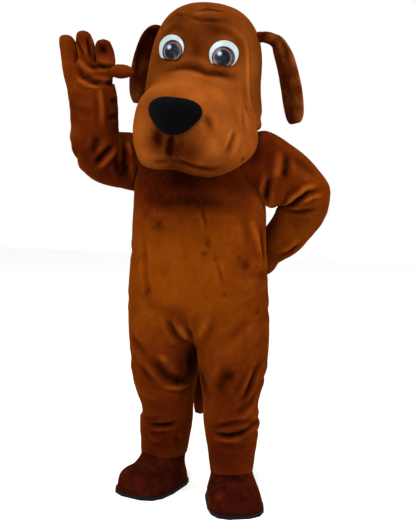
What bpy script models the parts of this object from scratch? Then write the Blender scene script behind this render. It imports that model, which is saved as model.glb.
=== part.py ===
"""Worn hound costume: plush suit, gloves, foot covers, tail and a foam head.

Metres, +Z up, front faces -Y and +X is the wearer's left.
Heights in the tables are above the floor. One empty carries all the pieces
and puts the middle of the wearer's shoulder line at the origin.
"""
import math

import bmesh
import bpy
import numpy as np
from mathutils import Matrix, Vector
from mathutils.bvhtree import BVHTree

# Driving dimensions
SHOULDER_HEIGHT = 1.46
PLUSH_WALL = 0.004
FOAM_WALL = 0.012
SEAM_GAP = 0.0003
NEST_GAP = 0.0006
LAY_GAP = 0.0008

# Suit grid: columns of one panel, crotch and armhole places
PANEL_COLUMNS = 9
CROTCH_HEIGHT = 0.615
CROTCH_TOP = 0.745
ARMHOLE_MIDDLE = 1.335
ARMHOLE_HALF_HEIGHT = 0.115
ARMHOLE_HALF_ANGLE = math.radians(40.0)
# Between a circle (1.0) and a diamond (2.0)
ARMHOLE_POINT = 1.6
NECK_DIP = 0.035
NECK_DIP_START = 1.40

# Trunk sections: height, half width, depth in front, depth behind
TRUNK = (
    (1.500, 0.125, 0.100, 0.100),
    (1.490, 0.168, 0.122, 0.117),
    (1.470, 0.212, 0.140, 0.135),
    (1.435, 0.244, 0.156, 0.150),
    (1.370, 0.260, 0.172, 0.162),
    (1.300, 0.264, 0.180, 0.167),
    (1.200, 0.266, 0.186, 0.170),
    (1.100, 0.270, 0.196, 0.172),
    (1.000, 0.277, 0.208, 0.177),
    (0.900, 0.284, 0.218, 0.186),
    (0.800, 0.288, 0.222, 0.195),
    (0.700, 0.291, 0.217, 0.197),
    (0.600, 0.286, 0.200, 0.190),
)

# Leg sections: height, centre x, centre y, half width, half depth
LEG_RIGHT = (
    (0.780, -0.146, 0.000, 0.146, 0.200),
    (0.640, -0.146, 0.004, 0.145, 0.186),
    (0.560, -0.146, 0.008, 0.142, 0.170),
    (0.490, -0.149, 0.015, 0.136, 0.152),
    (0.420, -0.154, 0.024, 0.124, 0.133),
    (0.365, -0.150, 0.032, 0.112, 0.119),
    (0.335, -0.147, 0.036, 0.106, 0.112),
    (0.300, -0.153, 0.042, 0.110, 0.114),
    (0.255, -0.162, 0.050, 0.112, 0.114),
    (0.205, -0.168, 0.055, 0.106, 0.108),
    (0.150, -0.174, 0.060, 0.100, 0.102),
    (0.105, -0.178, 0.062, 0.095, 0.098),
)
LEG_LEFT = (
    (0.780, 0.146, 0.000, 0.146, 0.200),
    (0.640, 0.146, 0.004, 0.145, 0.186),
    (0.560, 0.146, 0.003, 0.139, 0.168),
    (0.490, 0.146, 0.000, 0.129, 0.148),
    (0.430, 0.143, -0.004, 0.117, 0.128),
    (0.385, 0.140, -0.007, 0.109, 0.116),
    (0.335, 0.144, -0.010, 0.112, 0.116),
    (0.273, 0.147, -0.014, 0.107, 0.110),
    (0.222, 0.151, -0.018, 0.100, 0.104),
    (0.168, 0.150, -0.020, 0.094, 0.098),
    (0.105, 0.149, -0.022, 0.086, 0.092),
)
HEM_HEIGHT = {"right": 0.128, "left": 0.118}

# Heights of the suit's rows above the hem and below the crotch, and above the crotch
LEG_ROWS = (0.150, 0.180, 0.210, 0.240, 0.265, 0.290, 0.312, 0.335, 0.358, 0.382, 0.410, 0.445,
            0.485, 0.530, 0.575)
CROTCH_STEPS = (0.0, 0.12, 0.34, 0.64, 1.0)
CROTCH_CURVE = 1.6
TRUNK_ROWS = (0.81, 0.87, 0.94, 1.01, 1.08, 1.15)
HIP_BLEND = (0.46, 0.80)
ARMHOLE_STEPS = 8
YOKE_ROWS = (1.474, 1.490, 1.500)

# Spread of a fold past its half width, and how far it runs on past its ends
FOLD_SPREAD = 1.6
FOLD_RUN_ON = 0.15
# Large folds: start, end, half width of the trough, depth; a negative depth is a ridge
SUIT_FOLDS = (
    ((-0.24, -0.06, 0.352), (-0.06, -0.10, 0.336), 0.014, 0.012),
    ((-0.24, -0.06, 0.300), (-0.08, -0.08, 0.322), 0.014, -0.006),
    ((0.06, -0.12, 0.285), (0.24, -0.08, 0.318), 0.016, 0.014),
    ((0.05, -0.11, 0.312), (0.24, -0.08, 0.345), 0.016, -0.006),
    ((-0.10, -0.20, 0.760), (-0.012, -0.16, 0.640), 0.018, 0.012),
    ((0.08, -0.20, 0.760), (0.016, -0.16, 0.640), 0.018, 0.012),
    ((-0.22, 0.12, 0.345), (-0.08, 0.15, 0.350), 0.016, 0.012),
    ((0.06, 0.11, 0.345), (0.22, 0.09, 0.350), 0.016, 0.012),
    ((-0.12, 0.19, 0.690), (-0.03, 0.17, 0.620), 0.020, 0.012),
    ((0.12, 0.19, 0.690), (0.03, 0.17, 0.620), 0.020, 0.012),
    ((0.23, -0.10, 1.220), (0.20, -0.15, 1.120), 0.018, 0.007),
)

# Where each sleeve's middle line starts inside the trunk, and how far its cloth clears the trunk's
ARM_START = 0.20
ARM_CLEARANCE = 0.014
# How far a sleeve's root edge is drawn back from the armhole
ARMHOLE_GAP = 0.0006
# Sleeve rings after the armhole: centre x, y, z, half width, half depth
SLEEVE_RIGHT = (
    (-0.290, -0.024, 1.350, 0.118, 0.112),
    (-0.314, -0.070, 1.354, 0.112, 0.106),
    (-0.334, -0.116, 1.358, 0.108, 0.103),
    (-0.346, -0.155, 1.374, 0.104, 0.100),
    (-0.350, -0.184, 1.408, 0.099, 0.097),
    (-0.350, -0.200, 1.450, 0.095, 0.094),
    (-0.350, -0.211, 1.493, 0.095, 0.091),
    (-0.347, -0.221, 1.538, 0.096, 0.090),
    (-0.343, -0.230, 1.583, 0.099, 0.089),
    (-0.346, -0.238, 1.625, 0.099, 0.086),
)
SLEEVE_LEFT = (
    (0.292, 0.012, 1.332, 0.120, 0.112),
    (0.330, 0.036, 1.308, 0.113, 0.107),
    (0.370, 0.064, 1.274, 0.105, 0.102),
    (0.404, 0.094, 1.234, 0.100, 0.098),
    (0.414, 0.124, 1.186, 0.096, 0.095),
    (0.388, 0.150, 1.140, 0.094, 0.091),
    (0.346, 0.176, 1.098, 0.091, 0.087),
    (0.308, 0.197, 1.052, 0.089, 0.083),
    (0.264, 0.214, 1.012, 0.085, 0.077),
    (0.224, 0.228, 0.982, 0.080, 0.070),
)
SLEEVE_FOLDS = (
    ((-0.31, -0.20, 1.440), (-0.40, -0.24, 1.350), 0.016, 0.014),
    ((-0.27, -0.09, 1.420), (-0.28, -0.11, 1.280), 0.016, 0.012),
    ((0.30, -0.02, 1.190), (0.44, 0.06, 1.255), 0.015, 0.016),
    ((0.29, -0.06, 1.420), (0.31, -0.04, 1.240), 0.018, 0.009),
    ((0.28, 0.12, 1.300), (0.34, 0.20, 1.190), 0.016, 0.012),
)

# Least agreement of two walls' directions taken for the seam in a valley
VALLEY_LIMIT = -0.5

# Direction nearest the glove's width
GLOVE_ACROSS = {"right": (1.0, 0.0, 0.0), "left": (0.0, 0.0, -1.0)}
# How far the hand bends at the wrist towards its thumb
WRIST_BEND = {"right": math.radians(-10.0), "left": math.radians(34.0)}
# Glove rings past the cuff: distance, half width, half thickness
GLOVE_NEST = 0.036
PALM = (
    (0.020, 0.092, 0.070),
    (0.044, 0.098, 0.064),
    (0.068, 0.103, 0.058),
    (0.092, 0.105, 0.052),
)
# Finger rings: distance past the palm, radius across, radius through, curl towards the palm
FINGER = (
    (0.016, 0.037, 0.040, 0.000),
    (0.046, 0.038, 0.039, 0.008),
    (0.074, 0.036, 0.037, 0.022),
    (0.094, 0.025, 0.026, 0.034),
)
# Fingers: place across the palm as a share of its half width, length factor, splay across
FINGERS_RIGHT = ((-0.66, 1.06, -0.004), (-0.01, 1.26, -0.002), (0.66, 1.00, 0.006))
FINGERS_LEFT = ((-0.68, 0.92, -0.004), (0.0, 1.06, 0.0), (0.68, 0.98, 0.004))
# Thumb rings: distance past the palm's side, rise, radius along, radius through
THUMB = (
    (0.014, 0.002, 0.034, 0.031),
    (0.038, 0.004, 0.032, 0.028),
    (0.062, 0.002, 0.024, 0.021),
    (0.076, 0.000, 0.012, 0.011),
)

# How far a fingertip's point lies past its last ring, as a share of the last ring's distance
TIP_SHARE = 0.35
# How deep the webs between the fingers lie under the palm's last ring
WEB_DEPTH = 0.006
# The palm's rings between which the thumb starts
THUMB_ROWS = (3, 4)

# Foot sections under the ankle: height, middle's shift to the wearer's left, half width,
# toe length, heel length, squareness
FOOT = {
    "right": (
        (0.084, -0.001, 0.096, 0.130, 0.088, 2.2),
        (0.062, -0.003, 0.106, 0.186, 0.080, 2.5),
        (0.038, -0.005, 0.114, 0.226, 0.076, 2.9),
        (0.014, -0.006, 0.116, 0.238, 0.074, 3.0),
    ),
    "left": (
        (0.084, 0.000, 0.090, 0.130, 0.092, 2.2),
        (0.062, 0.000, 0.097, 0.182, 0.094, 2.5),
        (0.038, 0.000, 0.103, 0.216, 0.096, 2.9),
        (0.014, 0.000, 0.104, 0.226, 0.096, 3.0),
    ),
}
# The outline is this share wider at the toes than in the middle, and as much narrower at the heel
TOE_SPREAD = 0.24
FOOT_NEST = 0.030
FOOT_WALL = 0.006
SOLE_THICK = 0.0137
SOLE_LIP = 0.003
TOE_OUT = {"right": math.radians(-11.0), "left": math.radians(26.0)}

# Head: middle of the skull, turn to the wearer's left, lean and nod
HEAD_CENTRE = (0.027, 0.014, 1.680)
HEAD_TURN = math.radians(8.0)
HEAD_LEAN = math.radians(7.0)
HEAD_NOD = math.radians(3.0)
HEAD_COLUMNS = 32
HEAD_ROWS = 20
# Where the rays that draw the head start, in the head's own axes
HEAD_EYE = (0.0, -0.150, -0.120)
# Soft lobes in the head's own axes: x, y, z, radii x, y, z, squareness
HEAD_LOBES = (
    (0.000, 0.010, -0.004, 0.215, 0.214, 0.270, 2.7),
    (0.000, 0.000, -0.170, 0.212, 0.196, 0.190, 2.4),
    (0.000, -0.250, -0.165, 0.186, 0.200, 0.140, 2.3),
    (0.080, -0.235, -0.280, 0.112, 0.160, 0.122, 2.2),
    (-0.080, -0.235, -0.280, 0.112, 0.160, 0.122, 2.2),
    (0.000, -0.120, -0.050, 0.150, 0.140, 0.110, 2.0),
    (0.025, -0.160, -0.295, 0.190, 0.168, 0.112, 2.3),
)
LOBE_BLEND = 0.020
# Farthest and nearest reach looked at along a ray that draws the head
HEAD_REACH = (0.62, 0.02)
# Neck rim: middle x, y, half width, half depth, and its lowest height
RIM = (0.010, 0.018, 0.184, 0.186)
RIM_FLOOR = 1.425
# Lift of the rim above the shoulders: at the sides, in front, behind
RIM_LIFT = (0.0045, 0.012, 0.010)
RIM_BLEND_ROWS = 3
# Columns stand closer together in front than behind by this share
FRONT_CROWDING = 0.38
# Share of the columns, from the middle of the face to the back, where the side seams run
SIDE_SEAM_COLUMN = 9
MUZZLE_SEAM_ROW = 7
JAW_SEAM_ROW = 16

# Patches on the head, in its own axes: aim x and z, then half width, half height, edge and dome heights
NOSE_AIM = (-0.004, -0.140)
NOSE = (0.096, 0.066, 0.006, 0.026)
NOSE_CORNERS = 0.10
EYE_AIM = (0.098, 0.105)
EYE_WHITE = (0.058, 0.056, 0.004, 0.009)
EYE_IRIS = (0.035, 0.035, 0.0012, 0.0022)
IRIS_SHIFT = (0.002, -0.014)
PATCH_SHARES = (0.0, 0.3, 0.58, 0.82, 1.0)
# How square a patch's dome is, and how far in front of the head its rays start
DOME_POWER = 2.4
IN_FRONT = -0.8
NOSE_GAP = 0.0032
EYE_GAP = {"right": 0.0027, "left": 0.0018}
IRIS_GAP = 0.0014

# Ears: rings from the root down, x, y, height, half width, half thickness
EAR_RIGHT = (
    (-0.150, 0.020, 1.846, 0.038, 0.012),
    (-0.188, 0.020, 1.850, 0.044, 0.014),
    (-0.210, 0.018, 1.824, 0.052, 0.016),
    (-0.225, 0.016, 1.776, 0.058, 0.016),
    (-0.238, 0.012, 1.716, 0.062, 0.017),
    (-0.246, 0.008, 1.660, 0.064, 0.017),
    (-0.250, 0.004, 1.608, 0.058, 0.016),
    (-0.250, 0.002, 1.574, 0.036, 0.011),
)
EAR_LEFT = (
    (0.212, 0.056, 1.828, 0.044, 0.014),
    (0.266, 0.060, 1.832, 0.054, 0.015),
    (0.303, 0.064, 1.800, 0.062, 0.016),
    (0.328, 0.066, 1.740, 0.068, 0.017),
    (0.348, 0.066, 1.670, 0.074, 0.018),
    (0.362, 0.064, 1.594, 0.078, 0.019),
    (0.372, 0.062, 1.526, 0.072, 0.018),
    (0.376, 0.060, 1.492, 0.046, 0.012),
)
# The front edge of each ear stands this far out from straight ahead
EAR_FLARE = {"right": math.radians(24.0), "left": math.radians(46.0)}
EAR_COLUMNS = 10
# Rings of a sewn-on root, as shares of its radius
ROOT_SHARES = (0.0, 0.35, 0.7, 1.0)
ROOT_GAP = {"ear_right": 0.0030, "ear_left": 0.0022, "tail": 0.0022}

# Tail rings from the root down: x, y, height, radius
TAIL = (
    (0.000, 0.205, 0.775, 0.034),
    (-0.004, 0.236, 0.768, 0.037),
    (-0.010, 0.260, 0.742, 0.038),
    (-0.020, 0.270, 0.690, 0.039),
    (-0.038, 0.270, 0.600, 0.038),
    (-0.056, 0.262, 0.500, 0.038),
    (-0.070, 0.252, 0.400, 0.038),
    (-0.078, 0.242, 0.300, 0.036),
    (-0.080, 0.238, 0.250, 0.022),
)
TAIL_COLUMNS = 10

# Zip at the centre back
ZIP_TOP = 1.36
ZIP_BOTTOM = 0.86
ZIP_HALF_WIDTH = 0.0045
ZIP_THICK = 0.0016
SLIDER = (0.0050, 0.0034, 0.0080)
CHEEK = (0.0011, 0.0030, 0.0030)
PULL = (0.0035, 0.0012, 0.0300)
PULL_BARREL = 0.0016


def srgb(hex_colour):
    """Linear colour from a six-digit screen colour."""
    channels = [int(hex_colour[i:i + 2], 16) / 255.0 for i in (0, 2, 4)]
    linear = [c / 12.92 if c <= 0.04045 else ((c + 0.055) / 1.055) ** 2.4 for c in channels]
    return (*linear, 1.0)


# Finishes: colour, roughness, metallic
FINISHES = {
    "body_plush": ("7A3F08", 0.85, 0.0),
    "head_plush": ("9A5214", 0.85, 0.0),
    "muzzle_plush": ("A8541F", 0.85, 0.0),
    "ear_plush": ("5E2206", 0.85, 0.0),
    "foot_plush": ("42120A", 0.88, 0.0),
    "black_felt": ("0B0E13", 0.80, 0.0),
    "sole_rubber": ("26282A", 0.70, 0.0),
    "eye_white": ("E4EFEE", 0.25, 0.0),
    "eye_iris": ("6E4A44", 0.25, 0.0),
    "zip_nylon": ("4A2A12", 0.55, 0.0),
    "zip_metal": ("8A8078", 0.35, 1.0),
}


def clear_scene():
    for thing in list(bpy.data.objects):
        bpy.data.objects.remove(thing, do_unlink=True)


def make_root():
    """Collection and the empty that carries every piece."""
    collection = bpy.data.collections.new("hound_costume")
    bpy.context.scene.collection.children.link(collection)
    root = bpy.data.objects.new("costume_origin", None)
    root.location = (0.0, 0.0, -SHOULDER_HEIGHT)
    collection.objects.link(root)
    return collection, root


def finish_material(name, finish):
    """Each piece has its own Principled material in one of the finishes."""
    colour, roughness, metallic = FINISHES[finish]
    material = bpy.data.materials.new(name + "_" + finish)
    material.use_nodes = True
    shader = material.node_tree.nodes["Principled BSDF"]
    shader.inputs["Base Color"].default_value = srgb(colour)
    shader.inputs["Roughness"].default_value = roughness
    shader.inputs["Metallic"].default_value = metallic
    return material


def add_piece(name, mesh_or_bmesh, finish):
    """Link a mesh as a named piece under the costume's empty."""
    if isinstance(mesh_or_bmesh, bmesh.types.BMesh):
        mesh = bpy.data.meshes.new(name)
        mesh_or_bmesh.to_mesh(mesh)
        mesh_or_bmesh.free()
    else:
        mesh = mesh_or_bmesh
    mesh.materials.append(finish_material(name, finish))
    mesh.shade_smooth()
    piece = bpy.data.objects.new(name, mesh)
    piece.parent = ROOT
    COLLECTION.objects.link(piece)
    return piece


def read_table(table, positions):
    """Smooth values of a table's columns at positions in its first column."""
    rows = np.array(sorted(table), float)
    keys = rows[:, 0]
    values = rows[:, 1:]
    slopes = np.gradient(values, keys, axis=0)
    positions = np.clip(np.atleast_1d(positions), keys[0], keys[-1])
    right = np.clip(np.searchsorted(keys, positions), 1, len(keys) - 1)
    left = right - 1
    span = (keys[right] - keys[left])[:, None]
    t = ((positions - keys[left]) / (keys[right] - keys[left]))[:, None]
    low = values[left] * (1 + 2 * t) * (1 - t) ** 2 + slopes[left] * span * t * (1 - t) ** 2
    high = values[right] * t * t * (3 - 2 * t) + slopes[right] * span * t * t * (t - 1)
    return low + high


def unit(vectors):
    length = np.linalg.norm(vectors, axis=-1, keepdims=True)
    return vectors / np.maximum(length, 1e-12)


def grid_normals(grid, wrap_columns):
    """Unit normals of a grid of points, columns running to the left seen from outside."""
    if wrap_columns:
        across = np.roll(grid, -1, axis=1) - np.roll(grid, 1, axis=1)
    else:
        across = np.gradient(grid, axis=1)
    along = np.gradient(grid, axis=0)
    return unit(np.cross(across, along))


def fold_depth(points, folds):
    """How far each point sinks into the folds near it."""
    sunk = np.zeros(points.shape[:-1])
    for start, end, half_width, depth in folds:
        start = np.array(start)
        run = np.array(end) - start
        along = np.clip(((points - start) @ run) / (run @ run), -FOLD_RUN_ON, 1.0 + FOLD_RUN_ON)
        away = np.linalg.norm(points - (start + along[..., None] * run), axis=-1)
        taper = np.clip(1.0 - (2.0 * np.abs(along - 0.5)) ** 4, 0.0, 1.0)
        sunk += depth * taper * np.exp(-((away / (FOLD_SPREAD * half_width)) ** 2))
    return sunk


def pull_in_edges(grids, sides, step=0.5 * SEAM_GAP):
    """Draw the named edges of matching grids back, by half a seam's gap if nothing else is said."""
    edge_of = {"first_column": (np.s_[:, 0], np.s_[:, 1]), "last_column": (np.s_[:, -1], np.s_[:, -2]),
               "first_row": (np.s_[0], np.s_[1]), "last_row": (np.s_[-1], np.s_[-2])}
    lead = grids[0]
    moves = [(edge_of[side][0], step * unit(lead[edge_of[side][1]] - lead[edge_of[side][0]]))
             for side in sides]
    for edge, move in moves:
        for grid in grids:
            grid[edge] += move


def wall_mesh(outer, inner, wrap_columns=False):
    """Closed wall between two matching grids; its edges split the same way as a neighbour's."""
    rows, columns = outer.shape[:2]
    bm = bmesh.new()
    out_verts = [[bm.verts.new(p) for p in row] for row in outer]
    in_verts = [[bm.verts.new(p) for p in row] for row in inner]
    last = columns if wrap_columns else columns - 1
    for i in range(rows - 1):
        for j in range(last):
            k = (j + 1) % columns
            bm.faces.new((out_verts[i][j], out_verts[i][k], out_verts[i + 1][k], out_verts[i + 1][j]))
            bm.faces.new((in_verts[i][j], in_verts[i + 1][j], in_verts[i + 1][k], in_verts[i][k]))
    edges = [[(i, j) for j in range(last)] + [(i, last % columns)] for i in (0, rows - 1)]
    if not wrap_columns:
        edges += [[(i, j) for i in range(rows)] for j in (0, columns - 1)]
    for edge in edges:
        for (i, j), (m, n) in zip(edge[:-1], edge[1:]):
            bm.faces.new((out_verts[i][j], in_verts[i][j], in_verts[m][n]))
            bm.faces.new((out_verts[i][j], in_verts[m][n], out_verts[m][n]))
    bmesh.ops.remove_doubles(bm, verts=bm.verts, dist=1e-6)
    bmesh.ops.recalc_face_normals(bm, faces=bm.faces)
    return bm


def capped_tube(rings, first_middle):
    """Closed solid through rings of points, with a centre point on each end."""
    bm = bmesh.new()
    verts = [[bm.verts.new(p) for p in ring] for ring in rings]
    columns = len(rings[0])
    for i in range(len(rings) - 1):
        for j in range(columns):
            k = (j + 1) % columns
            bm.faces.new((verts[i][j], verts[i][k], verts[i + 1][k], verts[i + 1][j]))
    for ring, centre in ((verts[0], first_middle), (verts[-1], np.mean(rings[-1], axis=0))):
        middle = bm.verts.new(centre)
        for j in range(columns):
            bm.faces.new((ring[j], ring[(j + 1) % columns], middle))
    bmesh.ops.recalc_face_normals(bm, faces=bm.faces)
    return bm


def trunk_section(heights):
    """Half width, front depth and back depth of the trunk at each height."""
    return read_table(TRUNK, heights)


def trunk_point(height, angle, side):
    """Point on the trunk; the angle runs from the wearer's side, forwards if positive."""
    half_width, front, back = trunk_section(height)[0]
    depth = front if angle >= 0 else back
    dip = np.clip((height - NECK_DIP_START) / (TRUNK[0][0] - NECK_DIP_START), 0, 1) ** 2
    return np.array((side * half_width * math.cos(angle), -depth * math.sin(angle),
                     height - NECK_DIP * dip * math.sin(angle) ** 2))


def armhole_angle(height):
    """Half the armhole's opening angle at a height, none outside it."""
    rise = min(abs(height - ARMHOLE_MIDDLE) / ARMHOLE_HALF_HEIGHT, 1.0)
    turn = math.acos(rise ** (1.0 / ARMHOLE_POINT))
    return ARMHOLE_HALF_ANGLE * math.sin(turn) ** ARMHOLE_POINT


def smooth_step(value):
    value = np.clip(value, 0.0, 1.0)
    return value * value * (3.0 - 2.0 * value)


def suit_heights(side_name):
    """Row heights of a half at its side and at its centre, and the rows that meet the armhole."""
    rise = CROTCH_TOP - CROTCH_HEIGHT
    crotch = [CROTCH_HEIGHT + rise * step for step in CROTCH_STEPS]
    below = [HEM_HEIGHT[side_name], *LEG_ROWS, *crotch, *TRUNK_ROWS]
    steps = np.arange(ARMHOLE_STEPS + 1) / ARMHOLE_STEPS
    turn = np.cos(math.pi * steps)
    round_hole = ARMHOLE_MIDDLE - ARMHOLE_HALF_HEIGHT * np.sign(turn) * np.abs(turn) ** ARMHOLE_POINT
    even = ARMHOLE_MIDDLE + ARMHOLE_HALF_HEIGHT * (2.0 * steps - 1.0)
    at_side = np.array([*below, *round_hole, *YOKE_ROWS])
    at_centre = np.array([*below, *even, *YOKE_ROWS])
    return at_side, at_centre, range(len(below), len(below) + ARMHOLE_STEPS + 1)


def suit_panel_form(side_name, forward):
    """Plain points of one panel: columns from the side seam to the centre, rows from hem to neck."""
    side = -1.0 if side_name == "right" else 1.0
    leg = LEG_RIGHT if side_name == "right" else LEG_LEFT
    share = np.linspace(0.0, 1.0, PANEL_COLUMNS + 1)
    around = math.pi * share
    at_side, at_centre, _ = suit_heights(side_name)
    grid = []
    for side_height, centre_height in zip(at_side, at_centre):
        row_heights = centre_height + (side_height - centre_height) * (1.0 - share) ** 2
        crotch_curve = np.clip((centre_height - CROTCH_HEIGHT) / (CROTCH_TOP - CROTCH_HEIGHT), 0.0, 1.0)
        centre_weight = 1.0 - (1.0 - crotch_curve) ** CROTCH_CURVE
        hip_weight = smooth_step((centre_height - HIP_BLEND[0]) / (HIP_BLEND[1] - HIP_BLEND[0]))
        weight = (hip_weight + (centre_weight - hip_weight) * share ** 3)[:, None]
        centre_x, centre_y, half_width, half_depth = read_table(leg, centre_height)[0]
        leg_row = np.stack((centre_x + side * half_width * np.cos(around),
                            centre_y - forward * half_depth * np.sin(around), row_heights), axis=-1)
        start = armhole_angle(side_height)
        angles = start + (0.5 * math.pi - start) * share
        trunk_row = np.array([trunk_point(height, forward * angle, side)
                              for height, angle in zip(row_heights, angles)])
        row = (1.0 - weight) * leg_row + weight * trunk_row
        if centre_height >= CROTCH_HEIGHT:
            row[-1, 0] = 0.0
        grid.append(row)
    return np.array(grid)


def seam_normals(front, back, side_name):
    """Outward normals of the two panels of a half, the same on both sides of every seam."""
    _, heights, hole = suit_heights(side_name)
    turn = 1.0 if side_name == "left" else -1.0
    front_normals = -turn * grid_normals(front, False)
    back_normals = turn * grid_normals(back, False)
    for i, height in enumerate(heights):
        if i not in hole[1:-1]:
            shared = unit(front_normals[i, 0] + back_normals[i, 0])
            front_normals[i, 0] = back_normals[i, 0] = shared
        if height < CROTCH_HEIGHT - 1e-6:
            shared = unit(front_normals[i, -1] + back_normals[i, -1])
            front_normals[i, -1] = back_normals[i, -1] = shared
        elif height < CROTCH_HEIGHT + 1e-6:
            front_normals[i, -1] = back_normals[i, -1] = (0.0, 0.0, -1.0)
        else:
            for normals in (front_normals, back_normals):
                normals[i, -1, 0] = 0.0
                normals[i, -1] = unit(normals[i, -1])
    return front_normals, back_normals


def suit_half(side_name):
    """Outer and inner points of the front and back panels of one half, with their folds."""
    front = suit_panel_form(side_name, 1.0)
    back = suit_panel_form(side_name, -1.0)
    front_normals, back_normals = seam_normals(front, back, side_name)
    front = front - fold_depth(front, SUIT_FOLDS)[..., None] * front_normals
    back = back - fold_depth(back, SUIT_FOLDS)[..., None] * back_normals
    front_normals, back_normals = seam_normals(front, back, side_name)
    return {"front": (front, front - PLUSH_WALL * front_normals, front_normals),
            "back": (back, back - PLUSH_WALL * back_normals, back_normals)}


def build_suit(side_name, half):
    """Two panels of one half, each from neck to hem."""
    pieces = []
    for face in ("front", "back"):
        outer, inner = half[face][0].copy(), half[face][1].copy()
        pull_in_edges((outer, inner), ("first_column", "last_column"))
        bm = wall_mesh(outer, inner)
        pieces.append(add_piece("suit_%s_%s" % (face, side_name), bm, "body_plush"))
    return pieces


def armhole_places(side_name):
    """Panel and row of each point round the armhole, from its lowest, forwards, over and back."""
    hole = list(suit_heights(side_name)[2])
    return [("front", i) for i in hole] + [("back", i) for i in hole[-2:0:-1]]


def sleeve_frames(table, side_name):
    """Centres and frames along a sleeve, turned as little as the bends allow."""
    rows = np.array(table)
    centres = rows[:, :3]
    start = np.array((math.copysign(ARM_START, centres[0, 0]), 0.0, ARMHOLE_MIDDLE))
    path = np.vstack((start, centres))
    tangents = unit(np.vstack((path[2:] - path[:-2], path[-1:] - path[-2:-1])))
    across = np.array((0.0, 0.0, 1.0))
    frames = []
    for tangent in tangents:
        across = unit(across - (across @ tangent) * tangent)
        through = np.cross(tangent, across)
        if side_name == "right":
            through = -through
        frames.append((tangent, across, through))
    return centres, rows[:, 3:], frames


def oval_ring(centre, across, through, half_width, half_depth, columns):
    """Ring that starts at minus the across direction and runs towards the through direction."""
    turn = 2.0 * math.pi * np.arange(columns)[:, None] / columns
    return centre - half_width * np.cos(turn) * across + half_depth * np.sin(turn) * through


def clear_of_trunk(points):
    """Points moved straight out of the trunk's sections until they clear them."""
    size = trunk_section(points[..., 2].ravel()).reshape(*points.shape[:-1], 3)
    depth = np.where(points[..., 1] < 0, size[..., 1], size[..., 2])
    clear = np.stack((size[..., 0], depth), axis=-1) + ARM_CLEARANCE
    share = np.linalg.norm(points[..., :2] / clear, axis=-1, keepdims=True)
    moved = points.copy()
    moved[..., :2] = points[..., :2] / np.minimum(np.maximum(share, 1e-6), 1.0)
    return moved


def sleeve_form(side_name, half):
    """Outer and inner points of a sleeve; its root and the armhole meet on the valley's middle."""
    table = SLEEVE_RIGHT if side_name == "right" else SLEEVE_LEFT
    centres, sizes, frames = sleeve_frames(table, side_name)
    places = armhole_places(side_name)
    root_outer = np.array([half[face][0][i, 0] for face, i in places])
    panel_normals = np.array([half[face][2][i, 0] for face, i in places])
    columns = len(root_outer)
    rings = [oval_ring(c, f[1], f[2], s[0], s[1], columns) for c, s, f in zip(centres, sizes, frames)]
    outer = np.array([root_outer, *clear_of_trunk(np.array(rings))])
    turn = -1.0 if side_name == "right" else 1.0
    normals = -turn * grid_normals(outer, True)
    sunk = fold_depth(outer, SLEEVE_FOLDS)
    sunk[0] = 0.0
    outer = outer - sunk[..., None] * normals
    normals = -turn * grid_normals(outer, True)
    inner = outer - PLUSH_WALL * normals
    agree = np.sum(panel_normals * normals[0], axis=-1, keepdims=True)
    valley = (panel_normals + normals[0]) / (1.0 + np.maximum(agree, VALLEY_LIMIT))
    inner[0] = outer[0] - PLUSH_WALL * valley
    for point, (face, i) in zip(inner[0], places):
        half[face][1][i, 0] = point
    top = columns // 2
    half["back"][1][places[top][1], 0] = inner[0, top]
    half["back"][1][places[0][1], 0] = inner[0, 0]
    cuff = {"inner": inner[-2:], "normals": normals[-1], "centre": centres[-1], "frame": frames[-1]}
    return outer, inner, cuff


def build_sleeve(side_name, outer, inner):
    """Front and back of a sleeve from the armhole to the cuff."""
    closed_outer = np.concatenate((outer, outer[:, :1]), axis=1)
    closed_inner = np.concatenate((inner, inner[:, :1]), axis=1)
    middle = outer.shape[1] // 2
    for face, part in (("front", np.s_[:, :middle + 1]), ("back", np.s_[:, :middle - 1:-1])):
        grids = (closed_outer[part].copy(), closed_inner[part].copy())
        pull_in_edges(grids, ("first_column", "last_column"))
        pull_in_edges(grids, ("first_row",), ARMHOLE_GAP)
        add_piece("sleeve_%s_%s" % (side_name, face), wall_mesh(*grids), "body_plush")


def tube_on_loop(bm, loop, rings):
    """Tube of rings of points on a loop of vertices, closed with a rounded end."""
    last = loop
    count = len(loop)
    for ring in rings:
        verts = [bm.verts.new(p) for p in ring]
        for j in range(count):
            k = (j + 1) % count
            bm.faces.new((last[j], last[k], verts[k], verts[j]))
        last = verts
    middle = np.mean(rings[-1], axis=0)
    end = bm.verts.new(middle + TIP_SHARE * (middle - np.mean(rings[-2], axis=0)))
    for j in range(count):
        bm.faces.new((last[j], last[(j + 1) % count], end))


def turned_cuff(cuff, wanted):
    """Cuff edge, its frame and columns turned so the across direction is nearest a wanted one."""
    tangent, across, through = cuff["frame"]
    columns = len(cuff["normals"])
    turn = round(math.atan2(through @ wanted, across @ wanted) * columns / (2.0 * math.pi))
    angle = 2.0 * math.pi * turn / columns
    new_across = math.cos(angle) * across + math.sin(angle) * through
    new_through = math.cos(angle) * through - math.sin(angle) * across
    edge = cuff["inner"][1] - cuff["normals"] * NEST_GAP
    back = cuff["inner"][0] - cuff["inner"][1]
    return np.roll(edge, turn, axis=0), np.roll(back, turn, axis=0), (tangent, new_across, new_through)


def hand_place(start, frame, bend, distance):
    """Middle, length and width directions of the hand at a distance past the cuff."""
    tangent, across, _ = frame
    angle = bend * distance / PALM[-1][0]
    half = 0.5 * angle
    chord = distance * (math.sin(half) / half if half else 1.0)
    middle = start + chord * (math.cos(half) * tangent - math.sin(half) * across)
    return (middle, math.cos(angle) * tangent - math.sin(angle) * across,
            math.cos(angle) * across + math.sin(angle) * tangent)


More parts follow.
